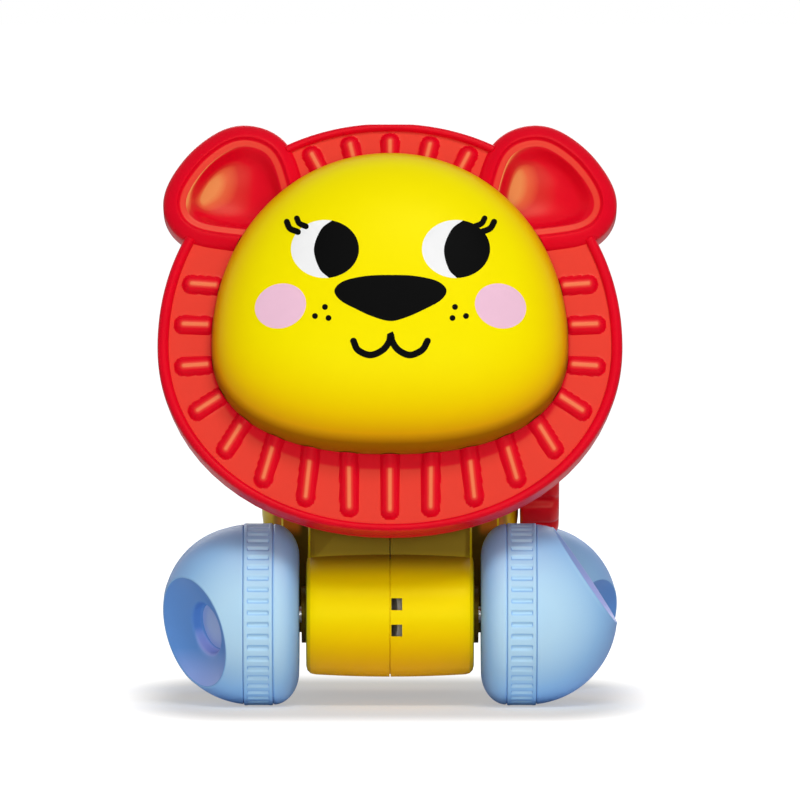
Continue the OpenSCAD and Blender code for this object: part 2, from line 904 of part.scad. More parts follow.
module rear_right_dome() {
    color(blue)
        as_wheel(-1, rear_hub, rear_r, rear_right_turn)
            wheel_dome(rear_hole);
}

module rear_right_tread() {
    color(blue)
        as_wheel(-1, rear_hub, rear_r, 0)
            wheel_tread();
}

module rear_right_cap() {
    color(blue)
        as_wheel(-1, rear_hub, rear_r, 0)
            wheel_cap(rear_hole);
}

module front_axle_rod() {
    half = wheel_in + axle_past * wheel_r / wheel_full;
    color(steel)
        along_x(-half, front_at)
            cylinder(r = axle_r, h = 2 * half);
}

module rear_axle_rod() {
    half = rear_hub[0] + axle_past * rear_r / wheel_full;
    color(steel)
        along_x(-half, rear_at)
            cylinder(r = axle_r, h = 2 * half);
}

module tilted_disc() {
    color(white)
        along_x(0, front_at)
            difference() {
                union() {
                    rotate([0, disc_lean, 0])
                        translate([0, 0, -1.2])
                            cylinder(r = disc_r, h = 2.4);
                    translate([0, 0, -6])
                        cylinder(r = 5, h = 12);
                }
                translate([0, 0, -8])
                    cylinder(r = axle_r + still_fit, h = 16);
            }
}

// music movement

arbor_in = -plate_in - plate_t;
arbor_out = knob_out - 3;
knob_gap = 0.6;
knob_from = torso_w / 2 + knob_gap;
ratchet_from = plate_in + plate_t + 0.5;

module winding_knob() {
    h = knob_out - knob_from;
    edge = [for (a = [0 : 15 : 90]) [knob_r - 3 + 3 * cos(a), h - 3 + 3 * sin(a)]];
    color(red)
        along_x(knob_from, arbor_at)
            difference() {
                rotate_extrude()
                    polygon(concat([[0, 0], [knob_r - 1, 0], [knob_r, 1]], edge, [[0, h]]));
                for (a = [0 : 30 : 330])
                    rotate([0, 0, a])
                        translate([knob_r + 2.2, 0, -1])
                            cylinder(r = 3.2, h = h + 2);
                translate([0, 0, -1])
                    cylinder(r = arbor_r + still_fit, h = h - 2);
                translate([0, 0, h - 4])
                    cylinder(r = 1.2 + still_fit, h = 6);
                translate([0, 0, h - 1.6])
                    cylinder(r = 3, h = 3);
            }
}

module knob_screw() {
    color(steel)
        along_x(knob_out - 1.6, arbor_at)
            rotate([180, 0, 0])
                screw(1.2, 7, 2.6, 1.4);
}

module winding_arbor() {
    color(steel)
        along_x(arbor_in, arbor_at)
            difference() {
                cylinder(r = arbor_r, h = arbor_out - arbor_in);
                translate([0, 0, arbor_out - arbor_in - 6])
                    cylinder(r = 1.2 + still_fit, h = 7);
            }
}

module ratchet_wheel() {
    teeth = 20;
    points = [for (i = [0 : teeth - 1]) let (a = i * 360 / teeth) each
        [6.5 * [cos(a), sin(a)], 5.5 * [cos(a + 3), sin(a + 3)]]];
    color(steel)
        along_x(ratchet_from, arbor_at)
            linear_extrude(2)
                difference() {
                    polygon(points);
                    circle(r = arbor_r + still_fit);
                }
}

module ratchet_click() {
    color(steel)
        along_x(plate_in + plate_t + 0.02, arbor_at) {
            translate([-2, -17.5, 0])
                cube([5, 5, 0.5]);
            translate([-0.4, -14, 0])
                cube([0.8, 7.2, 2.4]);
        }
}

drum_from = gear_left_x + gear_t;
drum_h = 13;

module spring_drum() {
    color(brass)
        along_x(gear_left_x, arbor_at)
            difference() {
                union() {
                    rotate([0, 0, cylinder_way])
                        linear_extrude(gear_t)
                            polygon(gear_points(barrel_teeth));
                    cylinder(r = drum_r, h = gear_t + drum_h);
                }
                translate([0, 0, gear_t])
                    cylinder(r = drum_r - 1, h = drum_h + 1);
                translate([0, 0, -1])
                    cylinder(r = arbor_r + run_fit, h = gear_t + 2);
            }
}

module drum_lid() {
    color(brass)
        along_x(drum_from + drum_h - 1.2, arbor_at)
            tube(drum_r - 1 - still_fit, arbor_r + run_fit, 1.2);
}

module mainspring() {
    turns = 5;
    steps = 20;
    from = arbor_r + 1;
    to = drum_r - 1.9;
    inner = [for (i = [0 : turns * steps])
        let (a = i * 360 / steps, r = from + (to - from) * i / turns / steps)
        r * [cos(a), sin(a)]];
    outer = [for (i = [turns * steps : -1 : 0])
        let (a = i * 360 / steps, r = from + 0.6 + (to - from) * i / turns / steps)
        r * [cos(a), sin(a)]];
    color(steel)
        along_x(drum_from + 0.2, arbor_at)
            linear_extrude(drum_h - 1.8)
                polygon(concat(inner, outer));
}

module plate_outline() {
    polygon(rounded(plate_corners, 3.5, 5));
}

module plate_with_holes(x) {
    along_x(x, [0, 0])
        difference() {
            linear_extrude(plate_t)
                plate_outline();
            translate([arbor_y, arbor_z, -1])
                cylinder(r = arbor_r + run_fit, h = plate_t + 2);
            for (at = [cylinder_at, governor_at])
                translate([at[0], at[1], -1])
                    cylinder(r = shaft_r + run_fit, h = plate_t + 2);
            for (p = mount_at)
                translate([p[0], p[1], -1])
                    cylinder(r = head_screw_r + 0.15, h = plate_t + 2);
        }
}

module movement_plate_left() {
    color(steel)
        plate_with_holes(plate_in);
}

module movement_plate_right() {
    color(steel)
        plate_with_holes(-plate_in - plate_t);
}

module movement_pillars() {
    color(brass)
        for (p = pillar_at)
            along_x(-plate_in + still_fit, p)
                cylinder(r = 2, h = 2 * (plate_in - still_fit));
}

module movement_screws() {
    color(steel)
        for (p = mount_at)
            along_x(plate_in, p)
                screw(head_screw_r, plate_t + 7, 2.4, 0.9);
}

cylinder_from = gear_left_x + gear_t + 5;
cylinder_h = gear_right_x - 2 - cylinder_from;

module music_cylinder() {
    color(brass)
        along_x(cylinder_from, cylinder_at) {
            cylinder(r = cylinder_r, h = cylinder_h);
            translate([0, 0, arbor_in - cylinder_from])
                cylinder(r = shaft_r, h = 2 * (plate_in + plate_t));
            for (i = [0 : 2 * tines - 1])
                rotate([0, 0, (i * 137.5) % 360])
                    translate([cylinder_r - 0.4, 0, 0.9 + (i % tines) * (cylinder_h - 1.8) / (tines - 1)])
                        rotate([0, 90, 0])
                            cylinder(r = 0.3, h = 0.4 + pin_h, $fn = 16);
        }
}

module cylinder_pinion() {
    color(brass)
        along_x(gear_left_x, cylinder_at)
            difference() {
                union() {
                    rotate([0, 0, cylinder_way + 180 + 180 / pinion_teeth])
                        linear_extrude(gear_t)
                            polygon(gear_points(pinion_teeth));
                    cylinder(r = 4, h = cylinder_from - gear_left_x - still_fit);
                }
                translate([0, 0, -1])
                    cylinder(r = shaft_r + still_fit, h = 12);
            }
}

module cylinder_wheel() {
    color(brass)
        along_x(cylinder_from + cylinder_h + still_fit, cylinder_at)
            difference() {
                union() {
                    translate([0, 0, gear_right_x - cylinder_from - cylinder_h - still_fit])
                        rotate([0, 0, governor_way])
                            linear_extrude(gear_t)
                                polygon(gear_points(wheel_teeth));
                    cylinder(r = 4, h = gear_right_x + gear_t - cylinder_from - cylinder_h - still_fit);
                }
                translate([0, 0, -1])
                    cylinder(r = shaft_r + still_fit, h = 12);
            }
}

comb_tip = cylinder_at[0] + cylinder_r + pin_h + tine_gap;
comb_back = comb_tip + 19;
comb_base = comb_tip + 13;
comb_screw_at = [cylinder_from + 3, cylinder_from + cylinder_h - 3];

module comb_bridge() {
    color(steel)
        difference() {
            translate([-plate_in + still_fit, comb_base + 0.6, cylinder_at[1] - comb_t / 2 - 6])
                cube([2 * (plate_in - still_fit), 5.4, 6 - still_fit]);
            for (x = comb_screw_at)
                translate([x, comb_base + 3.2, cylinder_at[1] - 6])
                    cylinder(r = 0.9 + still_fit, h = 8);
        }
}

module music_comb() {
    pitch = (cylinder_h - 1.8) / (tines - 1);
    x0 = cylinder_from + 0.9;
    half = pitch * 0.38;
    teeth = [for (i = [0 : tines - 1]) let (x = x0 + i * pitch, tip = comb_tip + 0.02 * i) each [
        [x - half, comb_base], [x - half, tip], [x + half, tip], [x + half, comb_base]]];
    color(steel)
        translate([0, 0, cylinder_at[1] - comb_t / 2])
            linear_extrude(comb_t)
                difference() {
                    polygon(concat(teeth, [[cylinder_from + cylinder_h, comb_base],
                        [cylinder_from + cylinder_h, comb_back], [cylinder_from, comb_back],
                        [cylinder_from, comb_base]]));
                    for (x = comb_screw_at)
                        translate([x, comb_base + 3.2])
                            circle(r = 1.1);
                }
}

module comb_screws() {
    color(steel)
        for (x = comb_screw_at)
            translate([x, comb_base + 3.2, cylinder_at[1] + comb_t / 2])
                rotate([180, 0, 0])
                    screw(0.9, 5.5, 1.9, 1.2);
}

module governor_pinion() {
    color(steel)
        along_x(arbor_in, governor_at) {
            cylinder(r = shaft_r, h = 2 * (plate_in + plate_t));
            translate([0, 0, gear_right_x - arbor_in])
                rotate([0, 0, governor_way + 180 + 180 / governor_teeth])
                    linear_extrude(gear_t)
                        polygon(gear_points(governor_teeth));
        }
}

module governor_fan() {
    color(white)
        along_x(-9, governor_at)
            difference() {
                union() {
                    cylinder(r = 3, h = 18);
                    translate([-fan_r, -0.5, 1])
                        cube([2 * fan_r, 1, 16]);
                }
                translate([0, 0, -1])
                    cylinder(r = shaft_r + still_fit, h = 20);
            }
}

mane();
face_shell();
head_back_cover();
head_screws();
swing_arm();
arm_screws();
body_left();
body_right();
body_screws();
pivot_pin();
front_bushes();
rear_bushes();
front_axle_rod();
tilted_disc();
front_left_dome();
front_left_tread();
front_left_cap();
front_right_dome();
front_right_tread();
front_right_cap();
rear_axle_rod();
rear_left_dome();
rear_left_tread();
rear_left_cap();
rear_right_dome();
rear_right_tread();
rear_right_cap();
winding_knob();
knob_screw();
winding_arbor();
ratchet_wheel();
ratchet_click();
spring_drum();
drum_lid();
mainspring();
movement_plate_left();
movement_plate_right();
movement_pillars();
movement_screws();
music_cylinder();
cylinder_pinion();
cylinder_wheel();
comb_bridge();
music_comb();
comb_screws();
governor_pinion();
governor_fan();
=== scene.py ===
import math

import bmesh
import bpy
import numpy as np
from mathutils import Matrix, Vector
from mathutils.bvhtree import BVHTree


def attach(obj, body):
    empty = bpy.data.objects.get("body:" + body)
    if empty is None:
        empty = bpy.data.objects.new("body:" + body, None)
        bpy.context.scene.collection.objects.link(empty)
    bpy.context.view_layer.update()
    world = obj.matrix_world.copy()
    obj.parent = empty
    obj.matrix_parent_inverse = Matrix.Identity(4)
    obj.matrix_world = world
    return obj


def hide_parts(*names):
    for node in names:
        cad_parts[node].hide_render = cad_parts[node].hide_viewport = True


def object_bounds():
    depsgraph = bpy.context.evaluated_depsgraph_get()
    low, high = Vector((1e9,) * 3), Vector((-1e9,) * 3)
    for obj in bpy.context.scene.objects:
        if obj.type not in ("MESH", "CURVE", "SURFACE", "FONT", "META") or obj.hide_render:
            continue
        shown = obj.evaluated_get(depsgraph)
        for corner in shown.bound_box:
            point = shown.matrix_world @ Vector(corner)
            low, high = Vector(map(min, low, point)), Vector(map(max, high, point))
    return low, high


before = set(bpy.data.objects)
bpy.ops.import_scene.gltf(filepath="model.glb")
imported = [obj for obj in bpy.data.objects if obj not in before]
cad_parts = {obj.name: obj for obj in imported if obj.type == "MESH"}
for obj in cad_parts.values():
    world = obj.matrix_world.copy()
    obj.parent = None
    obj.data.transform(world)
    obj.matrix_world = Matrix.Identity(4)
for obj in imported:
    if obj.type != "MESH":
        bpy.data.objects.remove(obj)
cad_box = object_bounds()
scene = bpy.context.scene
MM = 0.001

# Sizes of the solids that the pieces below follow, in millimetres and degrees.
MANE_W, MANE_TOP, MANE_BOTTOM, MANE_DEPTH = 139.2, 68.4, 56.6, 10.0
BEAD_W, BEAD_LESS, BEAD_H = 3.4, 1.0, 1.9
RIB_R, RIB_SINK, RIB_STEPS, RIB_SHORT, LOW_RIBS = 3.0, 1.0, 14, 1.1, 9
TOP_RIBS, TOP_PITCH, TOP_AIM, TOP_LONG, TOP_SHORT = 2, 11.4, (0.0, 14.0), 6.0, 0.3
FACE_W, FACE_TOP, FACE_BOTTOM, FACE_BULGE = 106.8, 58.6, 33.0, 25.0
FACE_ROUND, FACE_RISE = 0.8, 8
HEAD_WALL, OPENING_INSET = 2.4, 9.0
EAR_R, EAR_H = 12.6, 12.6
EAR_CORNERS = [(55.5, 43.5), (50.6, 50.7), (44.3, 55.4), (40.9, 54.6), (37.4, 41.3)]
HEAD_TILT, HEAD_FRONT, HEAD_Z = 14.0, 44.0, 106.2
WHEEL_R, REAR_R = 27.4, 25.4
FRONT_HUB, REAR_HUB = (27.3, -34.0, WHEEL_R), (31.5, 44.0, REAR_R)
BALL_R, BALL_AT, TREAD_FROM, TREAD_TO, SPIGOT_R = 27.2, 13.9, 7.8, 16.7, 24.4
DISH_LEAN, DISH_R, DISH_DEEP, RECESS_R = 34.0, 17.0, 5.5, 7.8
DISH_TURN = {"front_left": 183.0, "front_right": 245.5, "rear_left": 302.0, "rear_right": 110.0}
ARBOR_Y, ARBOR_Z, KNOB_R, KNOB_FROM, KNOB_OUT = 16.0, 70.0, 21.0, 39.6, 51.3
TORSO_Y, TORSO_Z, TORSO_L, TORSO_H = 36.5, 74.0, 85.0, 60.0

# Powers of the rounded outlines: upper and lower half of the mane and the face, and the torso.
MANE_POWERS, FACE_POWERS, TORSO_POWER = (2.06, 2.07), (2.04, 2.38), 3.2

# The head's own frame: X to the lion's left, Y up the tilted face, Z out of it.
TILT = math.radians(HEAD_TILT)
FACE_WAY = (0.0, -math.cos(TILT), math.sin(TILT))
HEAD = (Matrix.Translation((0, -HEAD_FRONT, HEAD_Z))
        @ Matrix.Rotation(math.radians(90 - HEAD_TILT), 4, "X"))

# The photograph's frame: 0.3 mm to a pixel in the plane of the mane's widest line.
PHOTO, PIXEL = 800, 0.3
AIM = Vector((3.0, -44.0, 92.25)) * MM
ELEVATION, DISTANCE, SENSOR = 2.0, 4.0, 36.0


def make_camera():
    e = math.radians(ELEVATION)
    back = Vector((0.0, -math.cos(e), math.sin(e)))
    data = bpy.data.cameras.new("camera")
    data.sensor_width = SENSOR
    data.lens = SENSOR * DISTANCE / (PHOTO * PIXEL * MM)
    data.clip_start, data.clip_end = 0.1, 100.0
    cam = bpy.data.objects.new("camera", data)
    cam.location = AIM + back * DISTANCE
    cam.rotation_mode = "QUATERNION"
    cam.rotation_quaternion = (-back).to_track_quat("-Z", "Y")
    scene.collection.objects.link(cam)
    scene.camera = cam
    return cam.location.copy(), Vector((1, 0, 0)), Vector((0.0, math.sin(e), math.cos(e)))


EYE, RIGHT, UP = make_camera()


def pixel_ray(px, py):
    """Direction from the camera through a pixel of the photograph."""
    across, up = (px - PHOTO / 2) * PIXEL * MM, (PHOTO / 2 - py) * PIXEL * MM
    return (AIM + RIGHT * across + UP * up - EYE).normalized()


# Shader nodes

MIX_A, MIX_B, MIX_OUT = 6, 7, 2  # colour sockets of a Mix node


def ramp_node(tree, stops):
    """Colour ramp through stops of (place, colour)."""
    ramp = tree.nodes.new("ShaderNodeValToRGB")
    ramp.color_ramp.elements[0].position = stops[0][0]
    ramp.color_ramp.elements[0].color = (*stops[0][1], 1)
    ramp.color_ramp.elements[1].position = stops[-1][0]
    ramp.color_ramp.elements[1].color = (*stops[-1][1], 1)
    for at, colour in stops[1:-1]:
        ramp.color_ramp.elements.new(at).color = (*colour, 1)
    return ramp


def math_node(tree, operation, *values):
    """Math node over values, each of them a socket or a number."""
    node = tree.nodes.new("ShaderNodeMath")
    node.operation = operation
    for socket, value in zip(node.inputs, values):
        if isinstance(value, bpy.types.NodeSocket):
            tree.links.new(value, socket)
        else:
            socket.default_value = value
    return node.outputs["Value"]


def vector_node(tree, operation, vector, other=(0.0, 0.0, 0.0)):
    """Vector math node over a socket and a constant."""
    node = tree.nodes.new("ShaderNodeVectorMath")
    node.operation = operation
    node.inputs[1].default_value = other
    tree.links.new(vector, node.inputs[0])
    return node


def dot_node(tree, vector, way):
    return vector_node(tree, "DOT_PRODUCT", vector, way).outputs["Value"]


def step_node(tree, value, low, high, start=0.0, end=1.0):
    """Smooth step of a value between low and high."""
    node = tree.nodes.new("ShaderNodeMapRange")
    node.interpolation_type = "SMOOTHSTEP"
    node.inputs["From Min"].default_value = low
    node.inputs["From Max"].default_value = high
    node.inputs["To Min"].default_value = start
    node.inputs["To Max"].default_value = end
    tree.links.new(value, node.inputs["Value"])
    return node.outputs["Result"]


# Materials

def srgb(r, g, b):
    """Linear colour of an 8-bit display colour."""
    return tuple(c / 255 / 12.92 if c <= 10 else ((c / 255 + 0.055) / 1.055) ** 2.4
                 for c in (r, g, b))


def shade(c, k):
    return tuple(min(1.0, x * k) for x in c)


def new_material(name):
    mat = bpy.data.materials.new(name)
    mat.use_nodes = True
    tree = mat.node_tree
    return mat, tree, tree.nodes["Principled BSDF"]


def grain(tree, shader, coords, scale, depth, rough_low, rough_high):
    """Fine moulded grain: bump from a small noise, roughness from a broad one."""
    fine = tree.nodes.new("ShaderNodeTexNoise")
    fine.inputs["Scale"].default_value = scale
    fine.inputs["Detail"].default_value = 3
    tree.links.new(coords, fine.inputs["Vector"])
    bump = tree.nodes.new("ShaderNodeBump")
    bump.inputs["Strength"].default_value = 0.25
    bump.inputs["Distance"].default_value = depth
    tree.links.new(fine.outputs["Fac"], bump.inputs["Height"])
    tree.links.new(bump.outputs["Normal"], shader.inputs["Normal"])
    broad = tree.nodes.new("ShaderNodeTexNoise")
    broad.inputs["Scale"].default_value = 60
    broad.inputs["Detail"].default_value = 4
    tree.links.new(coords, broad.inputs["Vector"])
    span = tree.nodes.new("ShaderNodeMapRange")
    span.inputs["To Min"].default_value = rough_low
    span.inputs["To Max"].default_value = rough_high
    tree.links.new(broad.outputs["Fac"], span.inputs["Value"])
    tree.links.new(span.outputs["Result"], shader.inputs["Roughness"])
    return broad


def plastic(name, colours, way=None, rough=(0.26, 0.36), shine=0.4, tint=(1, 1, 1), spread=0.05):
    """Moulded plastic of one colour or, with way, of a ramp by how far a face turns that way, as
    painted light and shade.
    """
    mat, tree, shader = new_material(name)
    coords = tree.nodes.new("ShaderNodeTexCoord")
    broad = grain(tree, shader, coords.outputs["Object"], 900, 0.00004, *rough)
    if way is None:
        dark, light = shade(colours, 1 - spread), shade(colours, 1 + spread)
        base = ramp_node(tree, [(0.3, dark), (0.7, light)])
        tree.links.new(broad.outputs["Fac"], base.inputs["Fac"])
    else:
        turned = dot_node(tree, coords.outputs["Normal"], way)
        wave = math_node(tree, "MULTIPLY_ADD", broad.outputs["Fac"], 0.02, turned)
        base = ramp_node(tree, colours)
        tree.links.new(wave, base.inputs["Fac"])
    tree.links.new(base.outputs["Color"], shader.inputs["Base Color"])
    shader.inputs["Specular IOR Level"].default_value = shine
    shader.inputs["Specular Tint"].default_value = (*tint, 1)
    return mat


def ink(name, colour):
    """Printed ink, a little uneven where the pad has laid it down."""
    mat, tree, shader = new_material(name)
    coords = tree.nodes.new("ShaderNodeTexCoord")
    broad = grain(tree, shader, coords.outputs["Object"], 1600, 0.00002, 0.45, 0.55)
    base = ramp_node(tree, [(0.35, shade(colour, 0.97)), (0.65, shade(colour, 1.02))])
    tree.links.new(broad.outputs["Fac"], base.inputs["Fac"])
    tree.links.new(base.outputs["Color"], shader.inputs["Base Color"])
    shader.inputs["Specular IOR Level"].default_value = 0.03
    return mat


def metal(name, colour, rough, stretch):
    """Turned or rolled metal with fine drawn lines."""
    mat, tree, shader = new_material(name)
    coords = tree.nodes.new("ShaderNodeTexCoord")
    mapping = tree.nodes.new("ShaderNodeMapping")
    mapping.inputs["Scale"].default_value = stretch
    tree.links.new(coords.outputs["Object"], mapping.inputs["Vector"])
    lines = tree.nodes.new("ShaderNodeTexNoise")
    lines.inputs["Scale"].default_value = 400
    lines.inputs["Detail"].default_value = 5
    tree.links.new(mapping.outputs["Vector"], lines.inputs["Vector"])
    base = ramp_node(tree, [(0.3, shade(colour, 0.82)), (0.7, shade(colour, 1.1))])
    tree.links.new(lines.outputs["Fac"], base.inputs["Fac"])
    tree.links.new(base.outputs["Color"], shader.inputs["Base Color"])
    span = tree.nodes.new("ShaderNodeMapRange")
    span.inputs["To Min"].default_value = rough * 0.7
    span.inputs["To Max"].default_value = rough * 1.4
    tree.links.new(lines.outputs["Fac"], span.inputs["Value"])
    tree.links.new(span.outputs["Result"], shader.inputs["Roughness"])
    bump = tree.nodes.new("ShaderNodeBump")
    bump.inputs["Strength"].default_value = 0.2
    bump.inputs["Distance"].default_value = 0.00003
    tree.links.new(lines.outputs["Fac"], bump.inputs["Height"])
    tree.links.new(bump.outputs["Normal"], shader.inputs["Normal"])
    shader.inputs["Metallic"].default_value = 1.0
    return mat


def lay_over(mat, share, colour):
    """Mixes a share of a colour over a material's own."""
    tree = mat.node_tree
    own = tree.nodes["Principled BSDF"].inputs["Base Color"]
    mix = tree.nodes.new("ShaderNodeMix")
    mix.data_type = "RGBA"
    tree.links.new(share, mix.inputs["Factor"])
    tree.links.new(own.links[0].from_socket, mix.inputs[MIX_A])
    mix.inputs[MIX_B].default_value = (*colour, 1)
    tree.links.new(mix.outputs[MIX_OUT], own)


def crest_highlight(mat, way, low, high, colour):
    """Lays a colour, as a painted highlight, over the parts of a plastic that stand out furthest
    along way, in metres.
    """
    tree = mat.node_tree
    coords = tree.nodes.new("ShaderNodeTexCoord")
    reach = dot_node(tree, coords.outputs["Object"], way)
    lay_over(mat, step_node(tree, reach, low, high), colour)


def shade_below_face(mat, half, low, colour):
    """Lays a colour, as painted shade, over a plastic inside an oval like the face's lower half,
    in millimetres.
    """
    tree = mat.node_tree
    coords = tree.nodes.new("ShaderNodeTexCoord")
    across = (1 / (half * MM), 0.0, 0.0)
    down = (0.0, -math.sin(TILT) / (low * MM), -math.cos(TILT) / (low * MM))
    middle = (HEAD_Z * math.cos(TILT) - HEAD_FRONT * math.sin(TILT)) / low
    terms = []
    for way, start in ((across, 0.0), (down, middle)):
        off = math_node(tree, "ADD", dot_node(tree, coords.outputs["Object"], way), start)
        size = math_node(tree, "ABSOLUTE", off)
        terms.append(math_node(tree, "POWER", size, FACE_POWERS[1]))
    oval = math_node(tree, "ADD", *terms)
    lay_over(mat, step_node(tree, oval, 0.97, 1.03, 1.0, 0.0), colour)


SIDEWAYS, FORWARD, UPWARD, DOWNWARD = (1, 0, 0), (0, -1, 0), (0, 0, 1), (0, 0, -1)

# Shade under the head leaves out the flanks and the top of the body: (source, way, low, high).
UNDER_HEAD = [("Normal", SIDEWAYS, 0.75, 0.45), ("Object", DOWNWARD, -0.072, -0.062)]


def in_shade(mat, colour, spans):
    """Deepens a plastic under the head, where its place reaches every span (way, low, high).

    Spans are in metres, and those along X count to either side.
    """
    tree = mat.node_tree
    coords = tree.nodes.new("ShaderNodeTexCoord")
    share = None
    for source, way, low, high in UNDER_HEAD + [("Object", *span) for span in spans]:
        value = dot_node(tree, coords.outputs[source], way)
        if way[0]:
            value = math_node(tree, "ABSOLUTE", value)
        step = step_node(tree, value, low, high)
        share = step if share is None else math_node(tree, "MULTIPLY", share, step)
    lay_over(mat, share, colour)


# Ways toward which the ear bowls and the face are painted lit.
EAR_LIT_WAY, FACE_LIT_WAY = (0.375, -0.922, 0.097), (0.0, -0.86, 0.51)
WARM, GOLD, SKY = (1.0, 0.5, 0.35), (1.0, 0.85, 0.1), (0.5, 0.75, 1.0)  # tints of highlights
WHEEL_ROUGH = (0.34, 0.46)
CRIMSON = srgb(232, 6, 36)
# Salmon is the crimson red painted lit.
SALMON = srgb(234, 64, 50)

RIM_RED = plastic("mane_red", CRIMSON, shine=0.12, tint=WARM)
# Painted light: faces of the ring that turn to the front are painted salmon, as if lit, and its
# slopes stay crimson.
RING_RED = plastic("ring_red", [(0.90, CRIMSON), (0.99, SALMON)], FACE_WAY, shine=0.2, tint=WARM)
# Painted light: in the ear bowls, faces that turn to the front and the lion's left are painted
# from crimson to a lit orange.
BOWL_RED = plastic("ear_red", [(0.86, shade(CRIMSON, 0.95)), (0.94, srgb(216, 44, 40)),
                               (0.98, srgb(228, 100, 60)), (1.0, srgb(236, 146, 84))],
                   EAR_LIT_WAY, shine=0.2, tint=WARM)
KNOB_RED = plastic("knob_red", srgb(236, 14, 34), tint=WARM)
# Painted light and shade: the face is painted bright where it turns up and to the front, golden at
# its sides and olive-brown at its lower edge.
YELLOW = plastic("face_yellow", [(0.08, srgb(160, 112, 0)), (0.34, srgb(240, 176, 0)),
                                 (0.62, srgb(252, 207, 0)), (0.92, srgb(254, 236, 0))],
                 FACE_LIT_WAY, rough=(0.36, 0.44), shine=0.2, tint=GOLD)
# Painted shade: faces of the body that turn toward the floor are painted a deeper orange-yellow.
BODY_YELLOW = plastic("body_yellow", [(0.0, srgb(254, 227, 0)), (0.3, srgb(254, 214, 0)),
                                      (0.8, srgb(246, 186, 0))],
                      DOWNWARD, rough=(0.32, 0.42), shine=0.3, tint=GOLD)
# Painted light: faces of the wheels and their treads that turn to the front are painted lighter,
# those turning away darker.
BLUE = plastic("wheel_blue", [(0.0, srgb(122, 170, 240)), (0.6, srgb(158, 207, 252)),
                              (0.95, srgb(190, 229, 254))],
               FORWARD, rough=WHEEL_ROUGH, shine=0.15, tint=SKY)
TREAD_BLUE = plastic("wheel_tread_blue", [(0.0, srgb(132, 180, 244)), (0.6, srgb(160, 209, 252)),
                                          (0.95, srgb(190, 229, 254))],
                     FORWARD, rough=WHEEL_ROUGH, shine=0.15, tint=SKY)
# Painted light and shade: the dish is painted steel blue where it turns down and a lighter violet
# where it turns up.
DISH_BLUE = plastic("wheel_dish_blue", [(0.0, srgb(102, 158, 230)), (0.25, srgb(152, 182, 248)),
                                        (0.6, srgb(178, 190, 254))],
                    UPWARD, rough=WHEEL_ROUGH, shine=0.35)
# Painted light: the button in the dish's hollow is painted a lighter blue, against the shade it
# sits in.
LIT_BUTTON_BLUE = plastic("wheel_button_lit_blue", srgb(178, 202, 252), rough=WHEEL_ROUGH, shine=0.35)
WHITE = plastic("white_plastic", srgb(232, 231, 226), rough=(0.35, 0.5), spread=0.03)
BLACK_INK = ink("black_ink", srgb(4, 4, 4))
WHITE_INK = ink("white_ink", srgb(250, 250, 250))
PINK_INK = ink("pink_ink", srgb(246, 200, 222))
STEEL = metal("steel", (0.62, 0.63, 0.65), 0.28, (1, 8, 8))
BRASS = metal("brass", (0.76, 0.58, 0.25), 0.25, (1, 6, 6))

MANE_REDS, WHEEL_BLUES = [RIM_RED, RING_RED, BOWL_RED], [BLUE, DISH_BLUE, LIT_BUTTON_BLUE]
RIM_SLOT, RING_SLOT, BOWL_SLOT = range(3)
DISH_SLOT, BUTTON_SLOT = 1, 2

# How far forward the body's shade starts: at the neck and shoulders, and at the side panels.
AT_NECK, AT_PANELS = (FORWARD, -0.030, -0.008), (FORWARD, -0.012, -0.004)
in_shade(BODY_YELLOW, srgb(122, 96, 24), [(UPWARD, 0.038, 0.047), AT_NECK])
in_shade(BODY_YELLOW, srgb(84, 62, 18), [(SIDEWAYS, 0.0247, 0.0253), AT_PANELS])
# Painted shade with a painted warm bounce of light from the red mane, on the shoulders.
in_shade(BODY_YELLOW, srgb(224, 132, 46),
         [(UPWARD, 0.049, 0.053), (SIDEWAYS, 0.0262, 0.0282), AT_NECK])

# Painted highlight along the crests of the mane's ribs, by height over its flat ring, and painted
# shade on the ring right below the face.
RING_FLAT = (HEAD_FRONT * math.cos(TILT) + HEAD_Z * math.sin(TILT) + MANE_DEPTH) * MM
CREST_FROM, CREST_TO = 1.90, 2.0
crest_highlight(RING_RED, FACE_WAY, RING_FLAT + CREST_FROM * MM, RING_FLAT + CREST_TO * MM,
            srgb(246, 128, 84))
shade_below_face(RING_RED, FACE_W / 2 + 0.3, FACE_BOTTOM + 4.6, CRIMSON)


# Mesh helpers

def place(points, matrix):
    """Millimetre points in a local frame as metres in the row frame."""
    p = np.asarray(points, float)
    m = np.array(matrix)
    return (p @ m[:3, :3].T + m[:3, 3]) * MM


def piece(name, points, faces, materials, sharp=35.0):
    """A mesh object in the row frame, smooth except along edges over the sharp angle."""
    mesh = bpy.data.meshes.new(name)
    mesh.from_pydata([tuple(p) for p in points], [], [tuple(int(i) for i in f) for f in faces])
    for mat in materials if isinstance(materials, list) else [materials]:
        mesh.materials.append(mat)
    obj = bpy.data.objects.new(name, mesh)
    scene.collection.objects.link(obj)
    finish_mesh(mesh, sharp)
    return obj


def finish_mesh(mesh, sharp):
    bm = bmesh.new()
    bm.from_mesh(mesh)
    bmesh.ops.recalc_face_normals(bm, faces=bm.faces)
    limit = math.radians(sharp)
    for f in bm.faces:
        f.smooth = True
    for e in bm.edges:
        e.smooth = len(e.link_faces) == 2 and e.calc_face_angle(0) < limit
    bm.to_mesh(mesh)
    bm.free()


def grid_faces(rows, n, closed_rows):
    """Quads over rows of n points each, closed around n, and around the rows if asked."""
    out = []
    for k in range(rows if closed_rows else rows - 1):
        a, b = k * n, ((k + 1) % rows) * n
        for i in range(n):
            j = (i + 1) % n
            out.append((a + i, b + i, b + j, a + j))
    return out


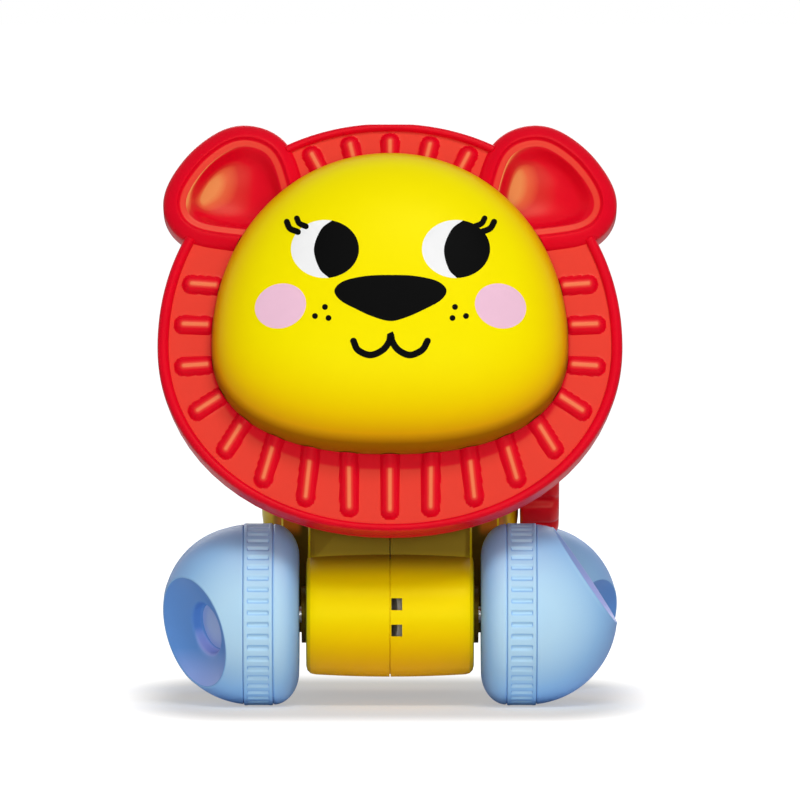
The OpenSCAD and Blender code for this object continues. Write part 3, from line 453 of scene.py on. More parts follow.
def loft(rings):
    """Rings stacked into one closed solid; its last two faces close the first and last ring."""
    n = len(rings[0])
    faces = grid_faces(len(rings), n, False)
    faces.append(tuple(range(n)))
    faces.append(tuple(range((len(rings) - 1) * n, len(rings) * n)))
    return np.vstack(rings), faces


def hoop(rings):
    """Rings joined in a loop, the last one to the first."""
    return np.vstack(rings), grid_faces(len(rings), len(rings[0]), True)


def full_turn(n):
    return np.linspace(0, 2 * math.pi, n, endpoint=False)


def circle_at(a, r, h):
    """Points at angles a, radius r (one, or one each) and height h."""
    return np.stack([r * np.cos(a), r * np.sin(a), np.full(len(a), h)], 1)


def run_along(line):
    """Length along a line up to each of its points."""
    return np.concatenate([[0], np.cumsum(np.linalg.norm(np.diff(line, axis=0), axis=1))])


def bound(obj, body, slot, *nodes):
    """Puts a piece on its body, in place of its nodes."""
    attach(obj, body)
    if nodes:
        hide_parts(*nodes)
    return obj


def applied(obj):
    """Turns an object's modifiers into its own mesh."""
    deps = bpy.context.evaluated_depsgraph_get()
    mesh = bpy.data.meshes.new_from_object(obj.evaluated_get(deps))
    old = obj.data
    obj.modifiers.clear()
    obj.data = mesh
    mesh.name = old.name
    bpy.data.meshes.remove(old)


def combine(obj, other, operation):
    """Cuts another object out of obj, or joins it, and drops it."""
    mod = obj.modifiers.new("combine", "BOOLEAN")
    mod.operation = operation
    mod.solver = "EXACT"
    mod.object = other
    bpy.context.view_layer.update()
    applied(obj)
    bpy.data.objects.remove(other)


# Mane and ears, in the head's frame

RIB_TUCK, RIB_TUCK_MORE = 1.2, 3.8  # start of a rib under the face, and what is added below it
RIB_FALL, RIB_BLEND = 3, 0.35  # slope beside a rib, and width of its blend into the ring
EAR_POINTS, EAR_SMOOTHING, EAR_REGROW = 160, 60, 0.75  # points, passes, and growth after them


def egg(t, half, top, bottom, powers):
    c, s = np.cos(t), np.sin(t)
    n = np.where(s < 0, powers[1], powers[0])
    b = np.where(s < 0, bottom, top)
    return np.stack([half * np.sign(c) * np.abs(c) ** (2 / n),
                     b * np.sign(s) * np.abs(s) ** (2 / n)], 1)


def mane_edge(t, inset):
    return egg(t, MANE_W / 2 - inset, MANE_TOP - inset, MANE_BOTTOM - inset, MANE_POWERS)


def face_edge(t, inset):
    return egg(t, FACE_W / 2 - inset, FACE_TOP - inset, FACE_BOTTOM - inset, FACE_POWERS)


def bead_at(t):
    return BEAD_W - BEAD_LESS * np.sin(t) ** 2


def at_height(p, w):
    return np.column_stack([p, np.broadcast_to(w, len(p))])


def rounded(corners, r, n):
    """A convex outline with round corners, as points."""
    m, out = len(corners), []
    for i, p in enumerate(corners):
        a, b = corners[i - 1], corners[(i + 1) % m]
        start = math.atan2(p[1] - a[1], p[0] - a[0]) - math.pi / 2
        turn = (math.atan2(b[1] - p[1], b[0] - p[0]) - math.pi / 2 - start) % (2 * math.pi)
        for k in range(n + 1):
            at = start + turn * k / n
            out.append((p[0] + r * math.cos(at), p[1] + r * math.sin(at)))
    return np.array(out)


def even_angles(n):
    """Outline angles at even steps along the middle of the ring, and those of the ribs."""
    tt = np.linspace(-math.pi / 2, 1.5 * math.pi, 6001)
    run = run_along((face_edge(tt, 0) + mane_edge(tt, BEAD_W)) / 2)
    step = run[-1] / 2 / RIB_STEPS
    ribs = [k * step for k in range(LOW_RIBS)] + [run[-1] - k * step for k in range(1, LOW_RIBS)]
    even = np.linspace(0, run[-1], n, endpoint=False)
    return np.interp(even, run, tt), np.interp(ribs, run, tt)


def rib_ends(rib_t):
    """Inner and outer ends of the ribs below the ears and of those between them."""
    inner = face_edge(rib_t, RIB_TUCK - RIB_R + RIB_TUCK_MORE * np.sin(rib_t) ** 2)
    ends = list(zip(inner, mane_edge(rib_t, bead_at(rib_t) + RIB_R + RIB_SHORT)))
    inset = BEAD_W - BEAD_LESS + RIB_R + TOP_SHORT
    x = TOP_PITCH * np.arange(-TOP_RIBS, TOP_RIBS + 1)
    for b in mane_edge(np.arccos(x / (MANE_W / 2 - inset)), inset):
        way = np.array(TOP_AIM) - b
        ends.append((b + TOP_LONG * way / np.linalg.norm(way), b))
    return ends


def segment_distance(p, a, b):
    ab = b - a
    f = np.clip(((p - a) @ ab) / (ab @ ab), 0, 1)
    return np.linalg.norm(p - (a + f[:, None] * ab), axis=1)


def smooth_max(a, b, k):
    return np.maximum(a, b) + np.maximum(k - np.abs(a - b), 0) ** 2 / (4 * k)


def rib_height(p, ends):
    """Height of the ring over its flat, with the ribs blended into it."""
    high = np.full(len(p), -9.0)
    for a, b in ends:
        d = segment_distance(p, a, b)
        inside = np.sqrt(np.maximum(RIB_R ** 2 - d ** 2, 0)) - RIB_SINK
        high = np.maximum(high, np.where(d < RIB_R, inside, -RIB_SINK - RIB_FALL * (d - RIB_R)))
    return smooth_max(np.zeros(len(p)), high, RIB_BLEND)


def ear_outline():
    """The ear's corners, rounded and evened out, as points and their outward directions."""
    p = rounded(EAR_CORNERS, EAR_R, 30)
    q = np.vstack([p, p[:1]])
    run = run_along(q)
    at = np.linspace(0, run[-1], EAR_POINTS, endpoint=False)
    p = np.stack([np.interp(at, run, q[:, 0]), np.interp(at, run, q[:, 1])], 1)
    for _ in range(EAR_SMOOTHING):
        p = 0.5 * p + 0.25 * (np.roll(p, 1, axis=0) + np.roll(p, -1, axis=0))
    way = np.roll(p, -1, axis=0) - np.roll(p, 1, axis=0)
    way = np.stack([way[:, 1], -way[:, 0]], 1) / np.linalg.norm(way, axis=1)[:, None]
    return p + EAR_REGROW * way, way


def ear(side):
    """Sloped rim, flat band and bowl in front, a shallow hollow behind."""
    flip = np.array([side, 1.0])
    edge, way = ear_outline()
    h = EAR_H
    back = [(8.6, 4.0), (2.4, 4.0), (2.0, 3.7), (2.0, 0.3), (1.7, 0.0), (0.7, 0.0), (0.2, 0.3),
            (0.0, 0.9), (0.0, h - 3.4)]
    rim = [(0.12, h - 2.75), (0.5, h - 2.1), (1.1, h - 1.5), (1.9, h - 0.95), (2.8, h - 0.45),
           (3.5, h - 0.12), (3.9, h - 0.02), (4.2, h - 0.12), (4.5, h - 0.5), (4.75, h - 0.9),
           (5.0, h - 1.1)]
    band = [(5.4, h - 1.2), (6.2, h - 1.26), (6.9, h - 1.34)]
    rings = [at_height((edge - e * way) * flip, w) for e, w in back + rim + band]
    lip = edge - 7.2 * way
    mid = lip.mean(axis=0)
    arm = lip - mid
    reach = np.linalg.norm(arm, axis=1)
    circle = arm * (reach.mean() / reach)[:, None]
    bowl = [(1.0, 1.5), (0.97, 1.8), (0.93, 2.4), (0.88, 3.2), (0.83, 3.95), (0.78, 4.55),
            (0.73, 5.0), (0.66, 5.4), (0.57, 5.8), (0.46, 6.2), (0.34, 6.5), (0.22, 6.72),
            (0.1, 6.82), (0.03, 6.84)]
    for k, down in bowl:
        blend = (1 - k) ** 0.7
        rings.append(at_height((mid + k * (arm * (1 - blend) + circle * blend)) * flip, h - down))
    points, faces = loft(rings)
    obj = piece("ear", place(points, HEAD), faces, MANE_REDS, 30)
    band_from, bowl_from = len(back + rim) - 1, len(back + rim + band) - 1
    back_face = len(faces) - 2
    for i, f in enumerate(obj.data.polygons):
        row = i // len(edge)
        if row >= bowl_from and i != back_face:
            f.material_index = BOWL_SLOT
        elif band_from <= row < bowl_from:
            f.material_index = RING_SLOT
    return obj


def plug(edge, low, high):
    """An outline as a block between two heights, to cut with."""
    points, faces = loft([at_height(edge, low), at_height(edge, high)])
    return piece("plug", place(points, HEAD), faces, MANE_REDS)


def ear_plug(side):
    """What the ear takes out of the ring."""
    edge, way = ear_outline()
    return plug((edge - 1.2 * way) * np.array([side, 1.0]), -6.0, 30.0)


def face_plug():
    """What the face takes out of ribs and ears."""
    return plug(face_edge(full_turn(240), -0.2), MANE_DEPTH - 0.05, MANE_DEPTH + 30.0)


def drop_slivers(mesh):
    """Takes out the faces without any area that a cut leaves."""
    bm = bmesh.new()
    bm.from_mesh(mesh)
    bmesh.ops.remove_doubles(bm, verts=bm.verts, dist=1e-7)
    bmesh.ops.dissolve_degenerate(bm, dist=1e-6, edges=bm.edges)
    bm.to_mesh(mesh)
    bm.free()


def make_mane():
    """Ring with ribs, bead and back wall, kept under the top of the CAD box, then the ears."""
    n, front_rows, d = 840, 40, MANE_DEPTH
    t, rib_t = even_angles(n)
    ends = rib_ends(rib_t)
    bead = bead_at(t)
    inner, outer = face_edge(t, 3.0), mane_edge(t, bead)
    rows = []
    for f in np.linspace(0, 1, front_rows):
        p = inner + (outer - inner) * f
        fade = np.clip((1 - f) * 12, 0, 1)
        rows.append(at_height(p, d + rib_height(p, ends) * fade))
    for a in np.linspace(0.22, math.pi - 0.25, 13):
        over = mane_edge(t, bead * (1 + math.cos(a)) / 2)
        rows.append(at_height(over, d + BEAD_H * math.sin(a) ** 0.85))
    back = ((0, d - 0.4), (0, d - 2.5), (0.2, 5.0), (0.36, 1.6), (0.5, 0.9), (0.8, 0.3),
            (1.2, 0.0), (HEAD_WALL, 0.0), (HEAD_WALL, d - HEAD_WALL))
    rows += [at_height(mane_edge(t, inset), w) for inset, w in back]
    rows.append(at_height(inner, d - HEAD_WALL))
    points, faces = hoop(rows)
    solid = place(points, HEAD)
    solid[:, 2] = np.minimum(solid[:, 2], cad_box[1][2])
    ring = piece("mane_ring", solid, faces, MANE_REDS, 40)
    for i, f in enumerate(ring.data.polygons):
        f.material_index = RING_SLOT if i // n < front_rows - 1 else RIM_SLOT
    for side in (1, -1):
        combine(ring, ear_plug(side), "DIFFERENCE")
        combine(ring, ear(side), "UNION")
    combine(ring, face_plug(), "DIFFERENCE")
    drop_slivers(ring.data)
    finish_mesh(ring.data, 32)
    return bound(ring, "head", "mane_red", "mane")


# Face

def dome_ring(a, t):
    f, h = math.cos(a) ** FACE_ROUND, math.sin(a) ** FACE_ROUND
    p = face_edge(t, 0) * f + np.array([0, FACE_RISE * (1 - f)])
    return at_height(p, MANE_DEPTH + FACE_BULGE * h)


def make_face():
    t = full_turn(240)
    foot = ((OPENING_INSET, -2.0), (4.0, 0.06), (0.55, 0.06), (0.22, 0.2))
    rings = [at_height(face_edge(t, inset), MANE_DEPTH + up) for inset, up in foot]
    steps = [0.003, 0.004, 0.012, 0.025, 0.045, *np.linspace(0.07, math.pi / 2 - 0.004, 58)]
    rings += [dome_ring(a, t) for a in steps]
    points, faces = loft(rings)
    shell = piece("face", place(points, HEAD), faces, YELLOW, 40)
    return bound(shell, "head", "face_yellow", "face_shell")


# Print on the face, laid out in pixels of the photograph and dropped onto the dome

INK_THICK = 0.00009
UNDER_LIFT, INK_LIFT, PUPIL_LIFT, LASH_LIFT = 0.05, 0.08, 0.12, 0.14
EYE_SIZE, CHEEK_SIZE, FRECKLE_R = (34, 29), (26, 22), 2.9
STROKE_LANES = 7


def on_dome(tree, points, lift):
    out = []
    for px, py in points:
        at, normal, _, _ = tree.ray_cast(EYE, pixel_ray(px, py))
        if normal.y > 0:
            normal = -normal
        out.append(at + normal * (lift * MM))
    return out


def filled(name, tree, outline, lift, mat, rings=14):
    """An outline filled with rings of points, as a thin skin on the dome."""
    edge = np.array(outline, float)
    mid = edge.mean(axis=0)
    n = len(edge)
    layers = [mid + (edge - mid) * f for f in np.linspace(1.0, 0.06, rings)]
    faces = grid_faces(rings, n, False)
    faces.append(tuple(range((rings - 1) * n, rings * n)))
    return skin(name, on_dome(tree, np.vstack(layers), lift), faces, mat)


def skin(name, points, faces, mat):
    obj = piece(name, points, faces, mat, 80)
    if sum(f.normal.y for f in obj.data.polygons) > 0:
        obj.data.flip_normals()
    mod = obj.modifiers.new("thick", "SOLIDIFY")
    mod.thickness = INK_THICK
    mod.offset = -1.0
    return bound(obj, "head", "face_yellow")


def ellipse(cx, cy, rx, ry, turn=0.0, n=72):
    a = full_turn(n)
    c, s = math.cos(turn), math.sin(turn)
    x, y = rx * np.cos(a), ry * np.sin(a)
    return np.stack([cx + x * c - y * s, cy + x * s + y * c], 1)


def smooth_line(points, n):
    """A smooth curve through points, at even steps."""
    p = np.array(points, float)
    q = np.vstack([2 * p[0] - p[1], p, 2 * p[-1] - p[-2]])
    out = []
    for i in range(1, len(q) - 2):
        for u in np.linspace(0, 1, 24, endpoint=False):
            out.append(0.5 * (2 * q[i] + (q[i + 1] - q[i - 1]) * u
                              + (2 * q[i - 1] - 5 * q[i] + 4 * q[i + 1] - q[i + 2]) * u ** 2
                              + (3 * q[i] - q[i - 1] - 3 * q[i + 1] + q[i + 2]) * u ** 3))
    out = np.array(out + [p[-1]])
    run = run_along(out)
    at = np.linspace(0, run[-1], n)
    return np.stack([np.interp(at, run, out[:, 0]), np.interp(at, run, out[:, 1])], 1)


def smooth_loop(points):
    """A smooth closed curve through points, starting at the first."""
    n = 120
    line = smooth_line(points[-2:] + points + points[:3], n * 2)
    off = np.linalg.norm(line - np.array(points[0]), axis=1)
    return line[np.argmin(off[:n]):n + np.argmin(off[n:])]


def stroke(name, tree, points, width, lift, n):
    """A black brush line with round ends, as rows of points across it."""
    line = smooth_line(points, n)
    way = np.gradient(line, axis=0)
    way /= np.linalg.norm(way, axis=1)[:, None]
    side = np.stack([-way[:, 1], way[:, 0]], 1)
    half = width / 2
    lanes = np.linspace(-1, 1, STROKE_LANES)
    turns = np.linspace(math.pi / 14, math.pi / 2 - 0.06, 7)

    def cap(i, sign):
        return [[line[i] + way[i] * (half * math.sin(u) * sign) + side[i] * half * math.cos(u) * f
                 for f in lanes] for u in turns[::sign]]

    rows = cap(0, -1)
    rows += [[line[i] + side[i] * (half * f) for f in lanes] for i in range(n)]
    rows += cap(n - 1, 1)
    faces = []
    for k in range(len(rows) - 1):
        a, b = k * STROKE_LANES, (k + 1) * STROKE_LANES
        faces += [(a + j, a + j + 1, b + j + 1, b + j) for j in range(STROKE_LANES - 1)]
    return skin(name, on_dome(tree, np.vstack(rows), lift), faces, BLACK_INK)


def pupil(cx, cy, top, bottom, bulge):
    """The part of an eye's ellipse right of an arc that bulges left."""
    rx, ry = EYE_SIZE
    a0 = math.atan2((top[1] - cy) / ry, (top[0] - cx) / rx)
    a1 = math.atan2((bottom[1] - cy) / ry, (bottom[0] - cx) / rx)
    a = np.linspace(a0, a1, 48)
    rim = np.stack([cx + rx * np.cos(a), cy + ry * np.sin(a)], 1)
    below = ((bottom[0] + bulge) / 2 - 2, bottom[1] * 0.75 + cy * 0.25 - 2)
    above = ((top[0] + bulge) / 2 - 2, top[1] * 0.75 + cy * 0.25 + 2)
    arc = smooth_line([bottom, below, (bulge, cy), above, top], 26)[1:-1]
    return np.vstack([rim, arc])


def make_print(shell):
    tree = BVHTree.FromObject(shell, bpy.context.evaluated_depsgraph_get())
    filled("eye_right_white", tree, ellipse(325, 249, *EYE_SIZE), UNDER_LIFT, WHITE_INK)
    filled("eye_left_white", tree, ellipse(456, 249, *EYE_SIZE), UNDER_LIFT, WHITE_INK)
    right_pupil = pupil(325, 249, (332, 220.6), (329, 277.8), 314)
    left_pupil = pupil(456, 249, (463, 220.6), (457, 278), 444)
    filled("eye_right_pupil", tree, right_pupil, PUPIL_LIFT, BLACK_INK)
    filled("eye_left_pupil", tree, left_pupil, PUPIL_LIFT, BLACK_INK)
    for name, line, width in (
            ("lash_right_outer", [(287, 222), (290, 228.5), (298, 232)], 6.0),
            ("lash_right_inner", [(297, 218.5), (299.5, 223.5), (306, 226.5)], 5.6),
            ("lash_left_outer", [(494, 222), (490, 228.5), (481.5, 232)], 6.0),
            ("lash_left_inner", [(484.5, 218.5), (481.5, 223.5), (474.5, 226.5)], 5.6)):
        stroke(name, tree, line, width, LASH_LIFT, 24)
    nose = smooth_loop([(391, 275), (415, 276), (437, 281), (446.5, 290), (441, 300), (425, 309),
                        (407, 317), (391, 321), (374, 317), (356, 309), (340, 300), (334.5, 290),
                        (344, 281), (366, 276)])
    filled("nose", tree, nose, INK_LIFT, BLACK_INK)
    mouth = [(353.5, 341), (358, 350), (370, 355), (382, 350.5), (389, 342), (390.7, 334),
             (392.5, 342), (399, 350.5), (410, 355), (422, 350), (427.5, 341)]
    stroke("mouth", tree, mouth, 6.6, INK_LIFT, 90)
    filled("cheek_right", tree, ellipse(280.5, 306, *CHEEK_SIZE, -0.35), UNDER_LIFT, PINK_INK)
    filled("cheek_left", tree, ellipse(500.5, 306, *CHEEK_SIZE, 0.35), UNDER_LIFT, PINK_INK)
    freckles = [(325, 307), (315, 316), (328.5, 318), (455, 307), (466, 316), (452.5, 318)]
    for i, (px, py) in enumerate(freckles):
        dot = ellipse(px, py, FRECKLE_R, FRECKLE_R, 0, 24)
        filled(f"freckle_{i + 1}", tree, dot, INK_LIFT, BLACK_INK, 4)


# Wheels, in their own frame: Z out along the axle, sizes of the front ones

TREAD_BARS, BAR_POINTS, BAR_FOOT, BAR_H = 48, 14, 26.72, 0.62
AXLE_HOLE = 2.7


def wheel_matrix(side, hub, turn):
    at = Matrix.Translation((side * hub[0], hub[1], hub[2]))
    out = Matrix.Rotation(math.radians(side * 90), 4, "Y")
    spin = Matrix.Rotation(math.radians(turn), 4, "Z")
    return at @ (out @ spin) @ Matrix.Scale(hub[2] / WHEEL_R, 4)


def dish_profile():
    """Radius and height along the dish's own axis: its button, its hollow and its lip."""
    floor_at = math.sqrt(BALL_R ** 2 - DISH_R ** 2) - DISH_DEEP
    hollow_r = (DISH_R ** 2 + DISH_DEEP ** 2) / (2 * DISH_DEEP)

    def dish(r):
        return floor_at + hollow_r - math.sqrt(hollow_r ** 2 - r ** 2)

    low = floor_at - 2.2
    button = [(r, low + 1.1 * (1 - (r / 6.4) ** 2)) for r in (0.4, 1.5, 3.0, 4.4, 5.6, 6.3)]
    hollow = [(6.9, low), (7.3, low + 0.12), (7.6, low + 0.45), (RECESS_R - 0.05, low + 0.9),
              (RECESS_R, dish(7.8) - 0.8), (RECESS_R + 0.12, dish(7.8) - 0.35),
              (RECESS_R + 0.45, dish(8.3) - 0.1), (RECESS_R + 0.95, dish(8.75))]
    hollow += [(r, dish(r)) for r in np.linspace(9.6, 16.0, 9)]
    edge = 17.75
    lip = [(16.35, dish(16.35) - 0.02), (16.65, dish(16.5) + 0.08), (16.95, dish(16.6) + 0.16),
           (17.2, dish(16.6) + 0.15), (17.45, dish(16.6) + 0.06),
           (edge, math.sqrt(BALL_R ** 2 - edge ** 2))]
    return button, hollow, lip


def make_dome(name, side, hub, turn, body, node):
    """Ball side of a wheel: the tilted dish, blended over the ball down to a round base."""
    n = 144
    a = full_turn(n)
    lean = math.radians(DISH_LEAN)
    axis = np.array([math.sin(lean), 0, math.cos(lean)])
    across = np.array([math.cos(lean), 0, -math.sin(lean)])
    along = np.array([0.0, 1.0, 0.0])
    button, hollow, lip = dish_profile()
    rings = []
    for r, h in button + hollow + lip:
        rings.append(axis * h + r * (np.cos(a)[:, None] * across + np.sin(a)[:, None] * along))
    rim = rings[-1] / np.linalg.norm(rings[-1], axis=1)[:, None]
    base_z = TREAD_TO - BALL_AT + 0.3
    base_r = math.sqrt(BALL_R ** 2 - base_z ** 2)
    base = circle_at(a, base_r, base_z) / BALL_R
    gap = np.arccos(np.clip((rim * base).sum(1), -1, 1))[:, None]
    for f in np.linspace(0, 1, 26)[1:]:
        rings.append(BALL_R * (np.sin((1 - f) * gap) * rim + np.sin(f * gap) * base) / np.sin(gap))
    foot = ((base_r - 0.12, base_z - 0.2), (base_r - 0.45, base_z - 0.3),
            (SPIGOT_R - 1, base_z - 0.3), (SPIGOT_R - 1, base_z - 2.0))
    rings += [circle_at(a, r, h) for r, h in foot]
    points, faces = loft(rings)
    points = points + np.array([0, 0, BALL_AT])
    obj = piece(name, place(points, wheel_matrix(side, hub, turn)), faces, WHEEL_BLUES, 40)
    button_to, dish_to = len(button) * n, len(button + hollow + lip[:2]) * n
    middle = len(faces) - 2
    for i, f in enumerate(obj.data.polygons):
        if i < button_to or i == middle:
            f.material_index = BUTTON_SLOT
        elif i < dish_to:
            f.material_index = DISH_SLOT
    return bound(obj, body, "wheel_blue", node)


def make_tread(name, side, hub, body, node):
    """Band of bars between two smooth edges."""
    a = full_turn(TREAD_BARS * BAR_POINTS)
    u = np.abs(((a * TREAD_BARS / (2 * math.pi)) + 0.5) % 1 - 0.5) * 2
    top = np.clip((0.90 - u) / 0.45, 0, 1)
    top = top * top * (3 - 2 * top)
    bar_r = BAR_FOOT + BAR_H * top
    low, high = TREAD_FROM + 0.05, TREAD_TO - 0.05
    plan = [(24.6, low), (27.0, low), (27.3, low + 0.12), (WHEEL_R, low + 0.42),
            (WHEEL_R, low + 1.0), (27.36, low + 1.15), (bar_r, low + 1.4),
            (bar_r, (low + high) / 2), (bar_r, high - 1.4), (27.36, high - 1.15),
            (WHEEL_R, high - 1.0), (WHEEL_R, high - 0.42), (27.3, high - 0.12), (27.0, high),
            (24.6, high)]
    points, faces = hoop([circle_at(a, r, h) for r, h in plan])
    obj = piece(name, place(points, wheel_matrix(side, hub, 0)), faces, TREAD_BLUE, 50)
    return bound(obj, body, "wheel_blue", node)


def make_cap(name, side, hub, body, node):
    """Rounded inner flank, with the axle's hole in true size."""
    hole = AXLE_HOLE * WHEEL_R / hub[2]
    flank = [(17.2 + 10 * math.sin(b), TREAD_FROM * (1 - math.cos(b)))
             for b in np.linspace(0, math.pi / 2 - 0.08, 18)]
    profile = [(hole, 0.25), (hole + 0.25, 0.0), (12.0, 0.0)] + flank
    profile += [(27.12, TREAD_FROM - 0.3), (26.8, TREAD_FROM), (SPIGOT_R, TREAD_FROM),
                (SPIGOT_R - 2, TREAD_FROM - 1.0), (hole, TREAD_FROM - 1.0)]
    a = full_turn(144)
    points, faces = hoop([circle_at(a, r, h) for r, h in profile])
    obj = piece(name, place(points, wheel_matrix(side, hub, 0)), faces, BLUE, 40)
    return bound(obj, body, "wheel_blue", node)


def make_wheels():
    for end, hub in (("front", FRONT_HUB), ("rear", REAR_HUB)):
        for word, side in (("left", 1), ("right", -1)):
            node = f"{end}_{word}"
            body = f"{end}_wheels"
            make_dome(f"wheel_{node}_ball", side, hub, DISH_TURN[node], body, f"{node}_dome")
            make_tread(f"wheel_{node}_band", side, hub, body, f"{node}_tread")
            make_cap(f"wheel_{node}_flank", side, hub, body, f"{node}_cap")


# Winding knob

SCALLOPS, SCALLOP_DEEP, SCALLOP_WIDE = 12, 1.9, 0.17  # wide as a share of their pitch


def make_knob():
    """Grip with finger scallops, rolled edges and a dished face round its screw."""
    a = full_turn(360)
    u = (a * SCALLOPS / (2 * math.pi) + 0.5) % 1 - 0.5
    scallop = SCALLOP_DEEP * np.exp(-(u / SCALLOP_WIDE) ** 2)
    h = KNOB_OUT - KNOB_FROM
    # Rows of radius, height and share of the scallops.
    rows = [(4.0, 0.0, 0), (KNOB_R - 4, 0.0, 0.2)]
    rows += [(KNOB_R - 1 + math.sin(b), 1 - math.cos(b), 1)
             for b in np.linspace(0, math.pi / 2, 5)]
    rows.append((KNOB_R, h / 2, 1))
    rows += [(KNOB_R - 3 + 3 * math.cos(b), h - 3 + 3 * math.sin(b), 1 - 0.4 * b)
             for b in np.linspace(0, math.pi / 2, 10)]
    rows += [(KNOB_R - 5.2, h - 0.08, 0.1), (KNOB_R - 6.2, h - 0.5, 0), (KNOB_R - 7.0, h - 0.9, 0),
             (KNOB_R - 9.0, h - 1.1, 0), (7.5, h - 0.95, 0), (6.6, h - 0.7, 0), (5.6, h - 0.1, 0),
             (5.0, h, 0), (3.5, h - 0.02, 0), (3.1, h - 0.2, 0), (3.0, h - 0.6, 0),
             (3.0, h - 1.6, 0), (1.3, h - 1.6, 0), (1.3, 0.4, 0)]
    points, faces = hoop([circle_at(a, r - scallop * share, w) for r, w, share in rows])
    out_along_x = Matrix(((0, 0, 1, 0), (1, 0, 0, 0), (0, 1, 0, 0), (0, 0, 0, 1)))
    at = Matrix.Translation((KNOB_FROM, ARBOR_Y, ARBOR_Z)) @ out_along_x
    obj = piece("winding_grip", place(points, at), faces, KNOB_RED, 40)
    return bound(obj, "winder", "knob_red", "winding_knob")


# Solids carried over from the CAD, and lips in the body's seam

EDGE_ANGLE = 28.0
TONGUE_X = 0.3
# Of each lip: first and last turn in degrees, number of steps, and inner and outer edge.
BARREL_TONGUE = (-100, 70, 60, 16.8, 18.0)  # edges as radius round the front axle
TORSO_TONGUE = (-25, 172, 80, 1.8, 0.7)  # edges as inset from the torso's outline


def refined(node, name, mat, slot, body, bevel=0.35):
    """A copy of a solid with its facets welded and smoothed and its hard edges rolled over."""
    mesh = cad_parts[node].data.copy()
    mesh.name = name
    mesh.materials.clear()
    mesh.materials.append(mat)
    bm = bmesh.new()
    bm.from_mesh(mesh)
    bmesh.ops.remove_doubles(bm, verts=bm.verts, dist=2e-6)
    bmesh.ops.dissolve_limit(bm, angle_limit=math.radians(0.4), verts=bm.verts, edges=bm.edges)
    bm.to_mesh(mesh)
    bm.free()
    obj = bpy.data.objects.new(name, mesh)
    scene.collection.objects.link(obj)
    finish_mesh(mesh, EDGE_ANGLE)
    mod = obj.modifiers.new("edges", "BEVEL")
    mod.width = bevel * MM
    mod.segments = 2
    mod.limit_method = "ANGLE"
    mod.angle_limit = math.radians(EDGE_ANGLE)
    mod.use_clamp_overlap = True
    mod.harden_normals = False
    return bound(obj, body, slot, node)


def dress(mat, *names):
    """Gives solids that stay as they are their material."""
    for name in names:
        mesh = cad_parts[name].data
        mesh.materials.clear()
        mesh.materials.append(mat)


def on_barrel(b, r):
    return FRONT_HUB[1] - r * math.cos(b), FRONT_HUB[2] + r * math.sin(b)


def on_torso(b, inset):
    c, s = math.cos(b), math.sin(b)
    power = 2 / TORSO_POWER
    return (TORSO_Y + (TORSO_L / 2 - inset) * math.copysign(abs(c) ** power, c),
            TORSO_Z + (TORSO_H / 2 - inset) * math.copysign(abs(s) ** power, s))


def make_tongue(name, outline, first, last, steps, inner, outer):
    """Lip along an outline in (y, z) that keeps daylight out of the body's seam."""
    corners = ((TONGUE_X, inner), (TONGUE_X, outer), (-TONGUE_X, outer), (-TONGUE_X, inner))
    rings = [np.array([(x, *outline(b, edge)) for x, edge in corners])
             for b in np.radians(np.linspace(first, last, steps))]
    points, faces = loft(rings)
    obj = piece(name, place(points, Matrix()), faces, BODY_YELLOW, 40)
    return bound(obj, "body", "body_yellow")


def make_rest():
    make_tongue("barrel_tongue", on_barrel, *BARREL_TONGUE)
    make_tongue("torso_tongue", on_torso, *TORSO_TONGUE)
    refined("body_left", "shell_left", BODY_YELLOW, "body_yellow", "body")
    refined("body_right", "shell_right", BODY_YELLOW, "body_yellow", "body")
    refined("head_back_cover", "back_cover", RIM_RED, "mane_red", "head", 0.5)
    refined("swing_arm", "neck_arm", WHITE, "white_plastic", "head", 0.3)
    dress(WHITE, "front_bushes", "rear_bushes", "tilted_disc", "governor_fan")
    dress(STEEL, "head_screws", "arm_screws", "body_screws", "pivot_pin", "front_axle_rod",
          "rear_axle_rod", "knob_screw", "winding_arbor", "ratchet_wheel", "ratchet_click",
          "mainspring", "movement_plate_left", "movement_plate_right", "movement_screws",
          "comb_bridge", "music_comb", "comb_screws", "governor_pinion")
    dress(BRASS, "spring_drum", "drum_lid", "movement_pillars", "music_cylinder",
          "cylinder_pinion", "cylinder_wheel")


# Stage and light

FLOOR_SIZE, FLOOR_LIT, FLOOR_SEEN = 30.0, 0.94, 0.45  # greys for bounced light and for the camera
GLOW_SQUEEZE, GLOW_CORNER = (1.0, 0.4, 1.0), (0.045, 0.015, 0.0)
GLOW_FROM, GLOW_TO, GLOW_LOW, GLOW_HIGH = 0.016, 0.046, 0.42, 1.0  # metres from the toy, strength
WORLD_LIT, WORLD_SEEN = 0.17, 1.0


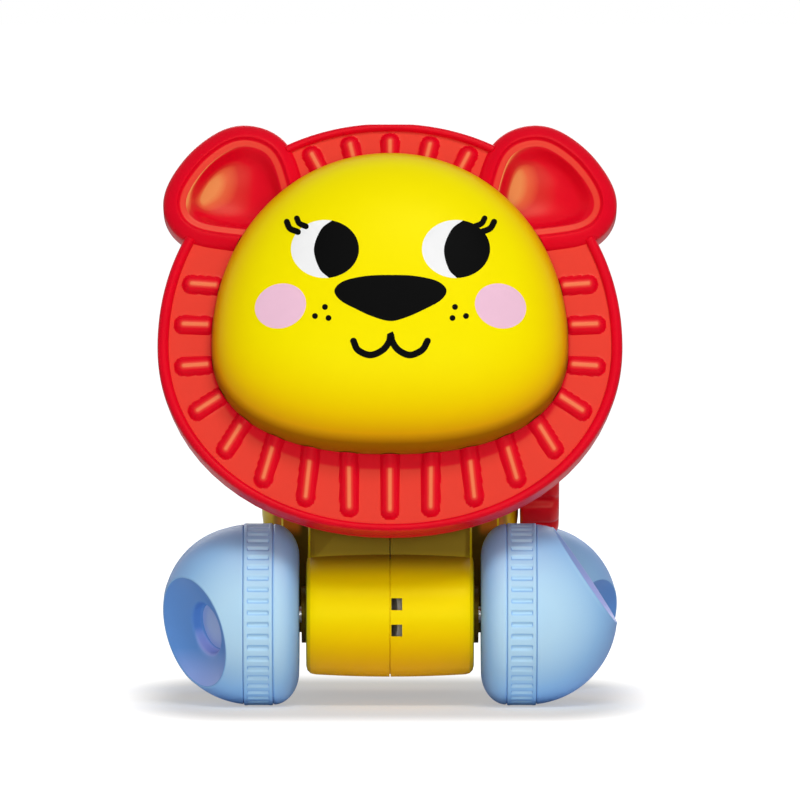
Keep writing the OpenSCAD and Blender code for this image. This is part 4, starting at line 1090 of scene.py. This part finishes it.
def floor_material():
    """White floor that glows to the camera away from the toy; near it the glow fades, which paints
    a soft grey shadow pool that the real shadow darkens further.
    """
    mat, tree, shader = new_material("floor_white")
    coords = tree.nodes.new("ShaderNodeTexCoord")
    noise = tree.nodes.new("ShaderNodeTexNoise")
    noise.inputs["Scale"].default_value = 3
    tree.links.new(coords.outputs["Object"], noise.inputs["Vector"])
    path = tree.nodes.new("ShaderNodeLightPath")
    base = tree.nodes.new("ShaderNodeMix")
    base.data_type = "RGBA"
    tree.links.new(path.outputs["Is Camera Ray"], base.inputs["Factor"])
    for socket, level in ((MIX_A, FLOOR_LIT), (MIX_B, FLOOR_SEEN)):
        speck = ramp_node(tree, [(0.3, (level - 0.01,) * 3), (0.7, (level + 0.01,) * 3)])
        tree.links.new(noise.outputs["Fac"], speck.inputs["Fac"])
        tree.links.new(speck.outputs["Color"], base.inputs[socket])
    tree.links.new(base.outputs[MIX_OUT], shader.inputs["Base Color"])
    shader.inputs["Roughness"].default_value = 0.9
    shader.inputs["Specular IOR Level"].default_value = 0.0
    # Painted shadow pool: the glow fades in a rounded box round the toy.
    at = vector_node(tree, "ABSOLUTE", coords.outputs["Object"]).outputs["Vector"]
    at = vector_node(tree, "MULTIPLY", at, GLOW_SQUEEZE).outputs["Vector"]
    at = vector_node(tree, "MAXIMUM", at, GLOW_CORNER).outputs["Vector"]
    away = vector_node(tree, "DISTANCE", at, GLOW_CORNER).outputs["Value"]
    glow = step_node(tree, away, GLOW_FROM, GLOW_TO, GLOW_LOW, GLOW_HIGH)
    seen = math_node(tree, "MULTIPLY", path.outputs["Is Camera Ray"], glow)
    shader.inputs["Emission Color"].default_value = (1, 1, 1, 1)
    tree.links.new(seen, shader.inputs["Emission Strength"])
    return mat


def make_floor():
    bm = bmesh.new()
    bmesh.ops.create_grid(bm, x_segments=8, y_segments=8, size=FLOOR_SIZE)
    mesh = bpy.data.meshes.new("floor")
    bm.to_mesh(mesh)
    bm.free()
    mesh.materials.append(floor_material())
    floor = bpy.data.objects.new("floor", mesh)
    scene.collection.objects.link(floor)


def make_world():
    """White to the camera and in reflections, dim as a light."""
    world = bpy.data.worlds.new("studio")
    world.use_nodes = True
    scene.world = world
    tree = world.node_tree
    back = tree.nodes["Background"]
    path = tree.nodes.new("ShaderNodeLightPath")
    seen = path.outputs["Is Camera Ray"]
    for kind in ("Is Glossy Ray", "Is Transmission Ray"):
        seen = math_node(tree, "MAXIMUM", seen, path.outputs[kind])
    level = tree.nodes.new("ShaderNodeMapRange")
    level.inputs["To Min"].default_value = WORLD_LIT
    level.inputs["To Max"].default_value = WORLD_SEEN
    tree.links.new(seen, level.inputs["Value"])
    tree.links.new(level.outputs["Result"], back.inputs["Strength"])
    back.inputs["Color"].default_value = (1, 1, 1, 1)


def area(name, at, aim, size, power):
    """Area light, with its place, aim and size in metres and its power in watts."""
    data = bpy.data.lights.new(name, "AREA")
    data.shape = "RECTANGLE"
    data.size, data.size_y = size
    data.energy = power
    lamp = bpy.data.objects.new(name, data)
    lamp.location = at
    lamp.rotation_mode = "QUATERNION"
    lamp.rotation_quaternion = (Vector(aim) - Vector(at)).to_track_quat("-Z", "Y")
    scene.collection.objects.link(lamp)


def make_lights():
    area("key", (0.2, -0.98, 1.14), (0, -0.03, 0.10), (0.6, 0.4), 8.4)
    area("fill", (0.08, -1.3, 0.2), (0, -0.03, 0.07), (0.9, 0.5), 5.4)
    area("back", (0.0, 1.05, 0.62), (0, 0, 0.09), (0.9, 0.6), 3.4)


make_mane()
make_print(make_face())
make_wheels()
make_knob()
make_rest()
make_floor()
make_world()
make_lights()
scene.view_settings.view_transform = "Standard"
